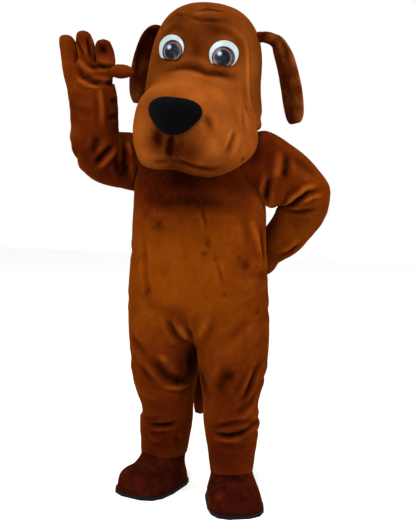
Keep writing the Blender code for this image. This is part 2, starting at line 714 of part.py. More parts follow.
def build_glove(side_name, cuff):
    """Hollow mitt with three fingers and a thumb, its wrist inside the cuff."""
    edge, back, frame = turned_cuff(cuff, np.array(GLOVE_ACROSS[side_name]))
    through = frame[2]
    deep = edge + back * (GLOVE_NEST / np.linalg.norm(np.mean(back, axis=0)))
    columns = len(edge)
    rings = [deep, edge]
    for distance, half_width, half_depth in PALM:
        palm_top, tangent, across = hand_place(cuff["centre"], frame, WRIST_BEND[side_name], distance)
        rings.append(oval_ring(palm_top, across, through, half_width, half_depth, columns))
    thumb_column = columns // 2 if side_name == "right" else 0
    bm = bmesh.new()
    grid = [[bm.verts.new(p) for p in ring] for ring in rings]
    thumb_gap = ((thumb_column - 1) % columns, thumb_column)
    for i in range(len(rings) - 1):
        for j in range(columns):
            if i in THUMB_ROWS and j in thumb_gap:
                continue
            k = (j + 1) % columns
            bm.faces.new((grid[i][j], grid[i][k], grid[i + 1][k], grid[i + 1][j]))
    top = grid[-1]
    reach = PALM[-1][1]
    bridges = {}
    for j in (3, 5):
        middle = 0.5 * (rings[-1][j] + rings[-1][columns - j])
        bridges[j] = bm.verts.new(middle - WEB_DEPTH * tangent)
    loops = ((top[0], top[1], top[2], top[3], bridges[3], top[13], top[14], top[15]),
             (bridges[3], top[3], top[4], top[5], bridges[5], top[11], top[12], top[13]),
             (bridges[5], top[5], top[6], top[7], top[8], top[9], top[10], top[11]))
    fingers = FINGERS_RIGHT if side_name == "right" else FINGERS_LEFT
    for loop, (place, length, splay) in zip(loops, fingers):
        finger_rings = []
        for distance, radius_across, radius_through, curl in FINGER:
            middle = (palm_top + distance * length * tangent + curl * through
                      + (place * reach + splay * distance / FINGER[-1][0]) * across)
            finger_rings.append(oval_ring(middle, across, through, radius_across, radius_through, 8))
        tube_on_loop(bm, loop, finger_rings)
    low, high = THUMB_ROWS[0], THUMB_ROWS[-1] + 1
    left, right = (thumb_column - 1) % columns, (thumb_column + 1) % columns
    side = 1.0 if side_name == "right" else -1.0
    loop = (grid[low][thumb_column], grid[low][left], grid[low + 1][left], grid[high][left],
            grid[high][thumb_column], grid[high][right], grid[low + 1][right], grid[low][right])
    bm.verts.remove(grid[low + 1][thumb_column])
    thumb_side = through if side_name == "right" else -through
    base = rings[low + 1][thumb_column]
    thumb_rings = [oval_ring(base + side * distance * across + rise * tangent, tangent, thumb_side,
                             radius_along, radius_through, 8)
                   for distance, rise, radius_along, radius_through in THUMB]
    tube_on_loop(bm, loop, thumb_rings)
    bmesh.ops.recalc_face_normals(bm, faces=bm.faces)
    piece = add_piece("glove_" + side_name, bm, "body_plush")
    hollow = piece.modifiers.new("wall", "SOLIDIFY")
    hollow.thickness = PLUSH_WALL
    hollow.offset = -1.0
    return piece


def foot_outline(side_name, half_width, toe, heel, squareness, angles, centre):
    """Blunt-toed outline; the angle runs from the outer side round the toe."""
    side = -1.0 if side_name == "right" else 1.0
    turn = TOE_OUT[side_name]
    power = 2.0 / squareness
    spread = half_width * (1.0 + TOE_SPREAD * np.sin(angles))
    x = side * spread * np.sign(np.cos(angles)) * np.abs(np.cos(angles)) ** power
    length = np.where(np.sin(angles) >= 0, toe, heel)
    y = -length * np.sign(np.sin(angles)) * np.abs(np.sin(angles)) ** power
    return np.stack((centre[0] + x * math.cos(turn) - y * math.sin(turn),
                     centre[1] + x * math.sin(turn) + y * math.cos(turn)), axis=-1)


def build_foot(side_name, half):
    """Plush foot cover, open at the ankle inside the leg, on its own flat sole."""
    front, back = half["front"], half["back"]
    inner = np.concatenate((front[1][:2], back[1][:2, -2:0:-1]), axis=1)
    normals = np.concatenate((front[2][:2], back[2][:2, -2:0:-1]), axis=1)
    ankle = inner - NEST_GAP * normals
    columns = ankle.shape[1]
    leg_step = np.mean(ankle[1, :, 2] - ankle[0, :, 2])
    top = ankle[0] + (ankle[1] - ankle[0]) * (FOOT_NEST / leg_step)
    centre = np.mean(ankle[0], axis=0)[:2]
    angles = 2.0 * math.pi * np.arange(columns) / columns
    rings = [top, ankle[0]]
    for height, shift, half_width, toe, heel, squareness in FOOT[side_name]:
        middle = centre + (shift, 0.0)
        outline = foot_outline(side_name, half_width, toe, heel, squareness, angles, middle)
        rings.append(np.column_stack((outline, np.full(columns, height))))
    outer = np.array(rings)
    turn = -1.0 if side_name == "right" else 1.0
    normals = unit(turn * grid_normals(outer, True))
    normals[-1, :, 2] = 0.0
    normals[-1] = unit(normals[-1])
    inner = outer - FOOT_WALL * normals
    add_piece("foot_cover_" + side_name, wall_mesh(outer, inner, True), "foot_plush")
    outline = foot_outline(side_name, half_width + SOLE_LIP, toe + SOLE_LIP, heel + SOLE_LIP,
                           squareness, angles, middle)
    bm = bmesh.new()
    face = bm.faces.new([bm.verts.new((x, y, 0.0)) for x, y in outline])
    raised = bmesh.ops.extrude_face_region(bm, geom=[face])
    lifted = [item for item in raised["geom"] if isinstance(item, bmesh.types.BMVert)]
    bmesh.ops.translate(bm, verts=lifted, vec=(0.0, 0.0, SOLE_THICK))
    bmesh.ops.recalc_face_normals(bm, faces=bm.faces)
    add_piece("sole_" + side_name, bm, "sole_rubber")


def head_axes():
    """Rows are the head's own x, y and z directions: nod, then lean, then turn."""
    nod = np.array(((1, 0, 0), (0, math.cos(HEAD_NOD), -math.sin(HEAD_NOD)),
                    (0, math.sin(HEAD_NOD), math.cos(HEAD_NOD))))
    lean = np.array(((math.cos(HEAD_LEAN), 0, math.sin(HEAD_LEAN)), (0, 1, 0),
                     (-math.sin(HEAD_LEAN), 0, math.cos(HEAD_LEAN))))
    turn = np.array(((math.cos(HEAD_TURN), -math.sin(HEAD_TURN), 0),
                     (math.sin(HEAD_TURN), math.cos(HEAD_TURN), 0), (0, 0, 1)))
    return (turn @ lean @ nod).T


def from_head(points):
    return np.asarray(points) @ head_axes() + HEAD_CENTRE


def to_head(points):
    return (np.asarray(points) - HEAD_CENTRE) @ head_axes().T


def lobe_distance(points):
    """Rough signed distance from the soft union of the head's lobes, in its own axes."""
    lobes = np.array(HEAD_LOBES)
    away = np.abs((points[..., None, :] - lobes[:, :3]) / lobes[:, 3:6])
    power = lobes[:, 6]
    size = np.sum(away ** power[:, None], axis=-1) ** (1.0 / power)
    distance = (size - 1.0) * lobes[:, 3:6].min(axis=1)
    return -LOBE_BLEND * np.log(np.sum(np.exp(-distance / LOBE_BLEND), axis=-1))


def lobe_reach(directions):
    """How far the head's surface lies from the drawing point along each direction."""
    steps = np.linspace(*HEAD_REACH, 121)
    points = np.array(HEAD_EYE) + steps[:, None, None] * directions
    inside = lobe_distance(points) < 0.0
    first = np.argmax(inside, axis=0)
    far = steps[np.maximum(first - 1, 0)]
    near = steps[first]
    for _ in range(18):
        middle = 0.5 * (far + near)
        within = lobe_distance(np.array(HEAD_EYE) + middle[:, None] * directions) < 0.0
        near = np.where(within, middle, near)
        far = np.where(within, far, middle)
    return 0.5 * (far + near)


def shoulder_surface(x, y):
    """Height of the suit's shoulders over a point of the plan."""
    low, high = 1.20, TRUNK[0][0]
    angle_side = 1.0 if x >= 0 else -1.0
    for _ in range(40):
        middle = 0.5 * (low + high)
        half_width, front, back = trunk_section(middle)[0]
        depth = front if y < 0 else back
        if (x / half_width) ** 2 + (y / depth) ** 2 > 1.0:
            high = middle
        else:
            low = middle
    angle = math.atan2(abs(y), abs(x) * depth / half_width)
    return trunk_point(low, math.copysign(angle, -y), angle_side)[2]


def rim_points():
    """Neck rim of the head, just above the shoulders at the sides."""
    spread = np.arange(-HEAD_COLUMNS // 2, HEAD_COLUMNS // 2) / (HEAD_COLUMNS / 2)
    azimuths = math.pi * ((1.0 - FRONT_CROWDING) * spread + FRONT_CROWDING * spread ** 3)
    eye = from_head(np.array(HEAD_EYE))
    middle_x, middle_y, half_width, half_depth = RIM
    side_lift, front_lift, back_lift = RIM_LIFT
    points = []
    for azimuth in azimuths:
        direction = np.array((math.sin(azimuth), -math.cos(azimuth)))
        start = (eye[:2] - (middle_x, middle_y)) / (half_width, half_depth)
        run = direction / (half_width, half_depth)
        a, b, c = run @ run, start @ run, start @ start - 1.0
        reach = (-b + math.sqrt(b * b - a * c)) / a
        x, y = eye[:2] + reach * direction
        ahead = (y - middle_y) / half_depth
        lift = side_lift + (front_lift if ahead < 0 else back_lift) * ahead * ahead
        inwards = 1.0 - FOAM_WALL / math.hypot(x - middle_x, y - middle_y)
        inner_x = middle_x + inwards * (x - middle_x)
        inner_y = middle_y + inwards * (y - middle_y)
        under = max(shoulder_surface(x, y), shoulder_surface(inner_x, inner_y), RIM_FLOOR)
        points.append((x, y, under + lift))
    return np.array(points)


def head_form():
    """Outer points of the head shell: rows from crown to neck rim, columns round from the back."""
    eye = np.array(HEAD_EYE)
    rim = to_head(rim_points()) - eye
    rim_reach = np.linalg.norm(rim, axis=1)
    rim_polar = np.arccos(rim[:, 2] / rim_reach)
    rim_azimuth = np.arctan2(rim[:, 0], -rim[:, 1])
    rows = []
    for share in np.linspace(0.0, 1.0, HEAD_ROWS + 1):
        polar = share * rim_polar
        directions = np.stack((np.sin(polar) * np.sin(rim_azimuth),
                               -np.sin(polar) * np.cos(rim_azimuth), np.cos(polar)), axis=-1)
        reach = lobe_reach(directions)
        weight = np.clip(1.0 - (1.0 - share) * HEAD_ROWS / RIM_BLEND_ROWS, 0.0, 1.0)
        weight = weight * weight * (3.0 - 2.0 * weight)
        rows.append(eye + directions * ((1.0 - weight) * reach + weight * rim_reach)[:, None])
    return from_head(np.array(rows))


def build_head():
    """Five sewn panels of a thick shell, open at the neck."""
    outer = head_form()
    wrapped = np.concatenate((outer[:, -1:], outer, outer[:, :1]), axis=1)
    normals = -grid_normals(wrapped, False)[:, 1:-1]
    normals[0] = head_axes()[2]
    inner = outer - FOAM_WALL * normals
    inner[-1] = outer[-1] - FOAM_WALL * unit(normals[-1] * (1.0, 1.0, 0.0))
    outer = np.concatenate((outer, outer[:, :1]), axis=1)
    inner = np.concatenate((inner, inner[:, :1]), axis=1)
    front = HEAD_COLUMNS // 2
    left, right = front - SIDE_SEAM_COLUMN, front + SIDE_SEAM_COLUMN
    panels = {
        "head_face": (0, MUZZLE_SEAM_ROW, left, right, "head_plush"),
        "head_muzzle": (MUZZLE_SEAM_ROW, JAW_SEAM_ROW, left, right, "muzzle_plush"),
        "head_jaw": (JAW_SEAM_ROW, HEAD_ROWS, left, right, "head_plush"),
        "head_side_right": (0, HEAD_ROWS, 0, left, "head_plush"),
        "head_side_left": (0, HEAD_ROWS, right, HEAD_COLUMNS, "head_plush"),
    }
    pieces = []
    for name, (top, bottom, first, last, finish) in panels.items():
        part = np.s_[top:bottom + 1, first:last + 1]
        grids = (outer[part].copy(), inner[part].copy())
        sides = ["first_column", "last_column"]
        if top > 0:
            sides.append("first_row")
        if bottom < HEAD_ROWS:
            sides.append("last_row")
        if top == 0:
            toward = unit(outer[1, (first + last) // 2] - outer[0, 0])
            for grid in grids:
                grid[0] += SEAM_GAP * toward
        pull_in_edges(grids, sides)
        if top == 0:
            for grid in grids:
                grid[0] = grid[0, grid.shape[1] // 2]
        pieces.append(add_piece(name, wall_mesh(*grids), finish))
    return pieces


def surface_tree(pieces):
    """Search tree over the triangles of finished pieces, in the tables' own heights."""
    points, triangles = [], []
    for piece in pieces:
        mesh = piece.data
        mesh.calc_loop_triangles()
        offset = len(points)
        points.extend(tuple(v.co) for v in mesh.vertices)
        triangles.extend(tuple(offset + i for i in t.vertices) for t in mesh.loop_triangles)
    return BVHTree.FromPolygons(points, triangles)


def cast(tree, start, direction):
    """First point hit from a start along a direction, and the surface's normal there."""
    hit, normal, _, _ = tree.ray_cast(Vector(start), Vector(direction))
    if hit is None:
        raise ValueError("nothing lies along the ray from %s" % (tuple(start),))
    return np.array(hit), np.array(normal)


def round_patch(tree, aim, size, base_lift, outline=None, columns=20):
    """Domed disc seen from the front of the head: its base and top follow the head's surface."""
    axes = head_axes()
    half_width, half_height, edge_lift, top_lift = size
    rings = []
    for share in PATCH_SHARES:
        ring = []
        count = columns if share > 0.0 else 1
        for k in range(count):
            angle = 2.0 * math.pi * k / columns
            stretch = outline(angle) if outline else 1.0
            x = aim[0] + half_width * share * stretch * math.cos(angle)
            z = aim[1] + half_height * share * stretch * math.sin(angle)
            hit, normal = cast(tree, from_head((x, IN_FRONT, z)), axes[1])
            ring.append((hit, normal, share))
        rings.append(ring)
    facing = unit(np.mean([normal for ring in rings for _, normal, _ in ring], axis=0))

    def lifted(ring, under):
        points = []
        for hit, _, share in ring:
            dome = edge_lift + (top_lift - edge_lift) * (1.0 - share ** DOME_POWER)
            points.append(hit + facing * (base_lift if under else base_lift + dome))
        return points

    bm = bmesh.new()
    for under in (True, False):
        verts = [[bm.verts.new(p) for p in lifted(ring, under)] for ring in rings]
        for k in range(columns):
            nxt = (k + 1) % columns
            bm.faces.new((verts[0][0], verts[1][k], verts[1][nxt]))
            for i in range(1, len(verts) - 1):
                bm.faces.new((verts[i][k], verts[i + 1][k], verts[i + 1][nxt], verts[i][nxt]))
        if under:
            low = verts[-1]
        else:
            for k in range(columns):
                nxt = (k + 1) % columns
                bm.faces.new((low[k], low[nxt], verts[-1][nxt], verts[-1][k]))
    bmesh.ops.recalc_face_normals(bm, faces=bm.faces)
    return bm


def nose_outline(angle):
    """Rounded triangle, broad above and narrow below."""
    return 1.0 + NOSE_CORNERS * math.sin(3.0 * angle)


def build_face(tree):
    """Felt nose and layered eyes, each lying on the head or on the layer under it."""
    nose = round_patch(tree, NOSE_AIM, NOSE, NOSE_GAP, nose_outline, 26)
    add_piece("nose", nose, "black_felt")
    for side_name, side in (("right", -1.0), ("left", 1.0)):
        aim = (side * EYE_AIM[0], EYE_AIM[1])
        white = round_patch(tree, aim, EYE_WHITE, EYE_GAP[side_name], columns=28)
        white_piece = add_piece("eye_white_" + side_name, white, "eye_white")
        iris_aim = (aim[0] + IRIS_SHIFT[0], aim[1] + IRIS_SHIFT[1])
        iris = round_patch(surface_tree([white_piece]), iris_aim, EYE_IRIS, IRIS_GAP)
        add_piece("eye_iris_" + side_name, iris, "eye_iris")


def seated_root(tree, rings, gap):
    """Rings and middle of a root that lies on a surface, cast from the second ring to the first."""
    seated = []
    middle, root_middle = np.mean(rings[1], axis=0), np.mean(rings[0], axis=0)
    for share in ROOT_SHARES:
        ring = []
        for outer_point, root_point in zip(rings[1], rings[0]):
            start = middle + share * (outer_point - middle)
            direction = unit(root_middle + share * (root_point - root_middle) - start)
            hit, _ = cast(tree, start, direction)
            ring.append(hit - gap * direction)
        seated.append(np.array(ring))
    return seated[1:], seated[0][0]


def build_ear(tree, side_name):
    """Stuffed flap hung from the side of the skull, its front edge standing outwards."""
    side = -1.0 if side_name == "right" else 1.0
    rows = np.array(EAR_RIGHT if side_name == "right" else EAR_LEFT)
    path = unit(np.gradient(rows[:, :3], axis=0))
    flare = EAR_FLARE[side_name]
    edge = np.array((side * math.sin(flare), -math.cos(flare), 0.0))
    rings = []
    for centre, tangent, (half_width, half_thick) in zip(rows[:, :3], path, rows[:, 3:]):
        across = unit(edge - (edge @ tangent) * tangent)
        rings.append(oval_ring(centre, across, np.cross(tangent, across), half_width, half_thick,
                               EAR_COLUMNS))
    name = "ear_" + side_name
    root_rings, root_middle = seated_root(tree, rings, ROOT_GAP[name])
    add_piece(name, capped_tube(root_rings + rings[1:], root_middle), "ear_plush")


def build_tail(tree):
    """Stuffed tail sewn to the back, hanging behind the legs."""
    rows = np.array(TAIL)
    path = unit(np.gradient(rows[:, :3], axis=0))
    sideways = np.array((1.0, 0.0, 0.0))
    rings = []
    for centre, tangent, radius in zip(rows[:, :3], path, rows[:, 3]):
        across = unit(sideways - (sideways @ tangent) * tangent)
        rings.append(oval_ring(centre, across, np.cross(tangent, across), radius, radius, TAIL_COLUMNS))
    root_rings, root_middle = seated_root(tree, rings, ROOT_GAP["tail"])
    add_piece("tail", capped_tube(root_rings + rings[1:], root_middle), "body_plush")


def boxes_union(name, boxes, finish):
    """One solid from overlapping boxes, each given by its middle and half sizes."""
    made = []
    for middle, half_size in boxes:
        bm = bmesh.new()
        bmesh.ops.create_cube(bm, size=2.0)
        bmesh.ops.scale(bm, vec=half_size, verts=bm.verts)
        bmesh.ops.translate(bm, vec=middle, verts=bm.verts)
        made.append(bm)
    piece = add_piece(name, made[0], finish)
    for bm in made[1:]:
        join_shape(piece, bm)
    return piece


def join_shape(piece, bm):
    """Union a closed shape into a piece."""
    cutter = bpy.data.objects.new(piece.name + "_add", bpy.data.meshes.new(piece.name + "_add"))
    bm.to_mesh(cutter.data)
    bm.free()
    cutter.parent = piece.parent
    cutter.location = piece.location
    cutter.hide_render = True
    cutter.display_type = "WIRE"
    HELPERS.objects.link(cutter)
    union = piece.modifiers.new("join", "BOOLEAN")
    union.operation = "UNION"
    union.object = cutter


def build_zip(right_half):
    """Zip up the centre back: chain, slider at the top and the pull hung in the slider."""
    outer, _, normals = right_half["back"]
    heights = outer[:, -1, 2]
    rows = [i for i, height in enumerate(heights) if ZIP_BOTTOM < height < ZIP_TOP]
    seam = outer[rows, -1]
    out = normals[rows, -1]
    flat = np.array((1.0, 0.0, 0.0))
    strip = np.stack([seam + x * flat for x in (-ZIP_HALF_WIDTH, ZIP_HALF_WIDTH)], axis=1)
    base = strip + LAY_GAP * out[:, None]
    face = strip + (LAY_GAP + ZIP_THICK) * out[:, None]
    add_piece("zip_chain", wall_mesh(face, base), "zip_nylon")
    top = seam[-1]
    chain_face = max(face[-1, 0, 1], face[-2, 0, 1])
    half_x, half_y, half_z = SLIDER
    plate_y = chain_face + SEAM_GAP + 0.5 * half_y
    plate = ((0.0, plate_y, top[2] - half_z), (half_x, 0.5 * half_y, half_z))
    cheek_x = PULL[0] + SEAM_GAP + CHEEK[0]
    axle_y = plate_y + 0.5 * half_y + SEAM_GAP + PULL_BARREL
    axle_z = top[2] - half_z
    cheeks = [((side * cheek_x, axle_y - 0.5 * CHEEK[1], axle_z), (CHEEK[0], CHEEK[1], CHEEK[2]))
              for side in (-1.0, 1.0)]
    boxes_union("zip_slider", [plate, *cheeks], "zip_metal")
    bm = bmesh.new()
    bmesh.ops.create_cone(bm, cap_ends=True, segments=12, radius1=PULL_BARREL, radius2=PULL_BARREL,
                          depth=2.0 * PULL[0])
    bmesh.ops.rotate(bm, verts=bm.verts, cent=(0, 0, 0), matrix=Matrix.Rotation(0.5 * math.pi, 3, "Y"))
    pull = add_piece("zip_pull", bm, "zip_metal")
    pull.location = (0.0, axle_y, axle_z)
    tab = bmesh.new()
    bmesh.ops.create_cube(tab, size=2.0)
    bmesh.ops.scale(tab, vec=(PULL[0], 0.5 * PULL[1], 0.5 * PULL[2]), verts=tab.verts)
    bmesh.ops.translate(tab, vec=(0.0, 0.0, -0.5 * PULL[2]), verts=tab.verts)
    join_shape(pull, tab)


COLLECTION = None
HELPERS = None
ROOT = None


def main():
    global COLLECTION, HELPERS, ROOT
    clear_scene()
    COLLECTION, ROOT = make_root()
    HELPERS = bpy.data.collections.new("joined_shapes")
    bpy.context.scene.collection.children.link(HELPERS)
    halves = {side_name: suit_half(side_name) for side_name in ("right", "left")}
    panels = []
    for side_name, half in halves.items():
        outer, inner, cuff = sleeve_form(side_name, half)
        panels += build_suit(side_name, half)
        build_sleeve(side_name, outer, inner)
        build_glove(side_name, cuff)
        build_foot(side_name, half)
    head_tree = surface_tree(build_head())
    build_face(head_tree)
    for side_name in ("right", "left"):
        build_ear(head_tree, side_name)
    build_tail(surface_tree(panels))
    build_zip(halves["right"])


main()
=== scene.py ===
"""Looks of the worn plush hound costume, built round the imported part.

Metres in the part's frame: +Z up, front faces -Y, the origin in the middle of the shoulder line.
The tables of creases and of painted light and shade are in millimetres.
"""
import math
from contextlib import contextmanager

import bpy
import numpy as np
from mathutils import Matrix, Vector, noise
from mathutils.bvhtree import BVHTree


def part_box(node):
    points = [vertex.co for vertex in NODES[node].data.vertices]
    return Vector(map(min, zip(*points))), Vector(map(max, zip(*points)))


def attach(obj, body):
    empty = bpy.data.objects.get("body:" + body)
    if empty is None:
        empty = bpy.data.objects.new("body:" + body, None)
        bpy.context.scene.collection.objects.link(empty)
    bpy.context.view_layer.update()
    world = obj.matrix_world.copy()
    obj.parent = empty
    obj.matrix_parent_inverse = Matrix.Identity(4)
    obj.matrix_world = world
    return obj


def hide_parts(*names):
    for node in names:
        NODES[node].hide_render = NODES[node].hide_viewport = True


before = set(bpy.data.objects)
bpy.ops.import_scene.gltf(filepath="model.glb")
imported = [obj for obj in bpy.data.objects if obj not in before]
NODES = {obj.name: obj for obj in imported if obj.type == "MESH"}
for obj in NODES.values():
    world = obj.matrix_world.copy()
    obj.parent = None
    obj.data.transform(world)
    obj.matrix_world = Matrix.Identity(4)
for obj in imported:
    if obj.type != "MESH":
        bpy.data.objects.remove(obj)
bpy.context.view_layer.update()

MM = 0.001

# Copies of the part's walls: distances to merge, and the longest edge that runs across a wall
CORNER_MERGE = 0.00002
SEAM_MERGE = 0.0014
HEAD_MERGE = 0.0034
SUIT_RIM = 0.0086
GLOVE_RIM = 0.0052
FOOT_RIM = 0.0095
SMALL_SHEET = 0.2
# Two triangles become one quad up to these angles: across the fold, and at the corners
SEWN_QUADS = (70.0, 80.0)
STUFFED_QUADS = (60.0, 70.0)
LEVEL_SLOPE = 0.5

# The foam panels' outer sheet: sight lines from each face, and what counts as a rim face
SIGHT_LINES = 14
SIGHT_LEANS = (0.5, 1.4)
SIGHT_START = 0.0004
FOAM_WALL = 0.012
FOAM_WALL_SPREAD = 0.0009
BEHIND_FACE = 0.0002
RIM_DEPTH = 1.45 * FOAM_WALL

# Thickness of the shells, and where pushes fade out above the soles
PLUSH_SHELL = 0.0034
GLOVE_SHELL = 0.0026
FOAM_SHELL = 0.0105
FOOT_SHELL = 0.0050
SOLE_TOP = -1.446
SOLE_BLEND = 0.035

# A crease's section, in half widths: the bank beside the trough, and the shading painted on the bank against
# the trough's; and its fade towards both ends
BANK_HEIGHT = 0.30
BANK_AT = 2.1
BANK_WIDTH = 0.8
BANK_TONE = 0.35
BANK_TONE_AT = 2.0
TONE_NARROWER = 1.05
END_FADE = 2.6
END_REST = 0.12

# Slack and tufts: waves to a metre, where their noise is read, and what they do; the two tones paint shading
# that follows the slack, lighter where the cloth rises and darker where it sinks
BROAD_WAVES = 9.0
FINE_WAVES = 34.0
TUFT_WAVES = 95.0
RAGGED_WAVES = 60.0
FINE_START = Vector((3.1, 7.7, 1.9))
TUFT_START = Vector((9.3, 2.2, 5.1))
TUFT_LIFT = 0.35
BROAD_TONE = 0.12
FINE_TONE = 0.05
PAINTED_ZONE_FALLOFF = 1.4

# The head's own axes and the eyes on its front
HEAD_CENTRE = Vector((0.027, 0.014, 0.220))
HEAD_AXES = (Matrix.Rotation(math.radians(8.0), 3, "Z") @ Matrix.Rotation(math.radians(7.0), 3, "Y")
             @ Matrix.Rotation(math.radians(3.0), 3, "X"))
IN_FRONT = -0.8
EYE_AIM = (0.098, 0.105)
EYE_DROP = -0.019
EYE_SHARE = (0.90, 0.86, 1.0)
EYE_CUT = 0.041
EYE_CUT_SOFTNESS = 0.004
IRIS_SHIFT = (0.002, -0.014)
IRIS_MOVE = {"right": (0.0055, -0.016), "left": (0.0, -0.019)}
IRIS_SHARE = (1.18, 1.18, 1.18)
IRIS_RADIUS = 0.041
GLINT_OFF = 0.33
DISC_HEIGHT = 0.001
OFF_DISC_DROP = 0.004

# Creases: points, half width, depth (a ridge is negative), and the shading painted along them from -1 dark to
# 1 lit
SUIT_CREASES = (
    # crotch and thighs in front
    (((-52, -214, -690), (-47, -213, -712), (-40, -161, -772), (-17, -104, -819)), 13, 11, -0.9),
    (((-20, -216, -684), (-2, -190, -745), (6, -120, -812)), 11, -5, 0.6),
    (((22, -216, -676), (25, -165, -767), (14, -102, -817)), 10, 7, -0.8),
    (((113, -201, -682), (85, -191, -745), (50, -149, -798)), 16, -4, 0.4),
    (((142, -192, -690), (112, -185, -748), (76, -160, -800)), 14, 4, -0.3),
    (((6, -125, -812), (4, -80, -870), (0, -40, -925), (-8, -10, -985)), 18, 3, -1),
    (((-149, -163, -865), (-115, -151, -909), (-87, -125, -956), (-56, -88, -981), (-30, -38, -990)),
     19, 9, -0.8),
    (((-104, -116, -1001), (-60, -80, -1010), (-29, -16, -1014)), 10, -7, 0.9),
    (((-104, -158, -866), (-78, -140, -889)), 11, -4, 0.7),
    (((-196, -138, -905), (-168, -137, -950), (-140, -128, -985)), 14, 5, -0.4),
    (((189, -153, -880), (157, -152, -939), (127, -134, -1014)), 20, 8, -0.7),
    (((282, -35, -872), (262, -78, -918), (237, -91, -1003), (204, -102, -1064)), 15, 8, -0.8),
    (((266, -68, -880), (240, -104, -950), (214, -116, -1020)), 12, -4, 0.5),
    (((261, -44, -1001), (237, -66, -1052), (188, -111, -1088)), 15, 8, -0.8),
    (((60, -96, -905), (66, -112, -960), (74, -110, -1020)), 16, 5, -0.4),
    # knees
    (((-228, -42, -1163), (-156, -74, -1153), (-126, -75, -1147)), 10, 5, -0.5),
    (((-190, -62, -1180), (-165, -69, -1180), (-109, -57, -1178), (-72, -32, -1166)), 10, 9, -0.9),
    (((-200, -60, -1200), (-140, -64, -1198), (-90, -44, -1190)), 10, -4, 0.5),
    (((-208, -48, -1232), (-166, -52, -1251), (-133, -49, -1242)), 11, -4, 0.5),
    (((-91, -28, -1226), (-84, -4, -1264)), 11, 5, -0.5),
    (((83, -99, -1155), (149, -124, -1130), (200, -109, -1118), (246, -55, -1121)), 9, 6, -0.7),
    (((96, -104, -1166), (130, -114, -1172), (171, -117, -1173), (214, -93, -1164), (254, -36, -1136)),
     9, 12, -1),
    (((100, -108, -1190), (160, -122, -1194), (220, -96, -1186)), 10, -5, 0.5),
    (((150, -121, -1217), (230, -82, -1222)), 11, 4, -0.4),
    # hips, waist and chest
    (((-160, -183, -650), (-50, -216, -676), (20, -216, -668)), 20, 4, -0.3),
    (((-246, -118, -792), (-190, -157, -842), (-150, -162, -872)), 18, 6, -0.5),
    (((254, -106, -690), (210, -151, -750), (160, -172, -800)), 17, 5, -0.4),
    (((-168, -152, -352), (-159, -169, -451), (-146, -186, -561), (-120, -201, -648)), 14, 3, -0.4),
    (((240, -84, -330), (259, -64, -413), (274, -35, -472)), 13, -5, 0.6),
    (((262, -40, -350), (273, -23, -439), (278, -12, -500)), 11, 5, -0.7),
    (((222, -118, -300), (236, -108, -390), (240, -112, -450)), 14, 4, -0.4),
    (((77, -179, -277), (92, -180, -320), (103, -181, -363)), 7, 1.5, -0.7),
    (((138, -181, -465), (152, -180, -520), (165, -177, -574)), 7, 1.5, -0.5),
    (((-190, -132, -290), (-120, -165, -330), (-60, -180, -350)), 17, 4, -0.3),
    (((-196, -128, -262), (-91, -175, -265), (85, -177, -262), (225, -99, -286)), 22, 3, -0.5),
    (((-214, -130, -450), (-275, -30, -480), (-246, 80, -460)), 15, 5, -0.4),
    (((-232, -120, -640), (-288, 0, -690), (-252, 100, -720)), 17, 5, -0.4),
    (((-255, -100, -880), (-285, 0, -940), (-270, 80, -970)), 16, 7, -0.5),
    (((-234, -30, -1140), (-261, 50, -1160), (-213, 130, -1150)), 11, 8, -0.7),
    (((-261, 0, -1210), (-268, 90, -1222)), 12, 5, -0.4),
    (((213, -140, -520), (280, -30, -550), (245, 90, -530)), 16, 5, -0.4),
    (((214, 130, -660), (287, 20, -700), (265, -90, -730)), 17, 5, -0.4),
    (((235, 120, -920), (270, 30, -970), (257, -60, -990)), 15, 7, -0.5),
    (((232, 60, -1120), (255, -20, -1140), (236, -74, -1134)), 11, 8, -0.7),
    (((235, 50, -1170), (249, -40, -1190)), 12, 5, -0.4),
    # back
    (((200, 117, -400), (120, 158, -428), (20, 172, -446)), 16, 6, -0.5),
    (((-210, 118, -490), (-120, 164, -520), (-30, 181, -530)), 15, 6, -0.5),
    (((170, 140, -556), (60, 178, -588)), 15, 4, -0.4),
    (((100, 150, -470), (20, 178, -490)), 15, -4, 0.4),
    (((-100, 182, -700), (-70, 164, -770), (-34, 120, -815)), 14, 9, -0.8),
    (((120, 177, -700), (80, 165, -770), (35, 122, -820)), 15, 9, -0.8),
    (((-150, 166, -760), (-104, 161, -822), (-60, 130, -862)), 14, -4, 0.5),
    (((-260, 101, -860), (-200, 155, -910), (-130, 164, -970)), 16, 8, -0.6),
    (((270, 78, -850), (190, 148, -930), (110, 128, -1000)), 17, 8, -0.6),
    (((-70, 115, -1120), (-150, 146, -1140), (-240, 91, -1115)), 10, 11, -0.9),
    (((-90, 130, -1176), (-170, 160, -1190), (-235, 123, -1175)), 11, 6, -0.5),
    (((70, 73, -1110), (150, 96, -1130), (240, 41, -1100)), 10, 11, -0.9),
    (((80, 75, -1165), (150, 96, -1180), (210, 76, -1170)), 11, 6, -0.5),
    (((-100, 137, -1250), (-160, 162, -1245)), 12, 4, -0.4),
    (((110, 76, -1235), (180, 80, -1240)), 12, 4, -0.4),
    (((206, 104, -120), (170, 128, -200), (150, 140, -280)), 17, 6, -0.5),
    (((-210, 97, -110), (-180, 122, -190), (-150, 140, -270)), 16, 6, -0.5),
    (((100, 154, -160), (0, 170, -176), (-90, 157, -165)), 18, 3, -0.3),
)

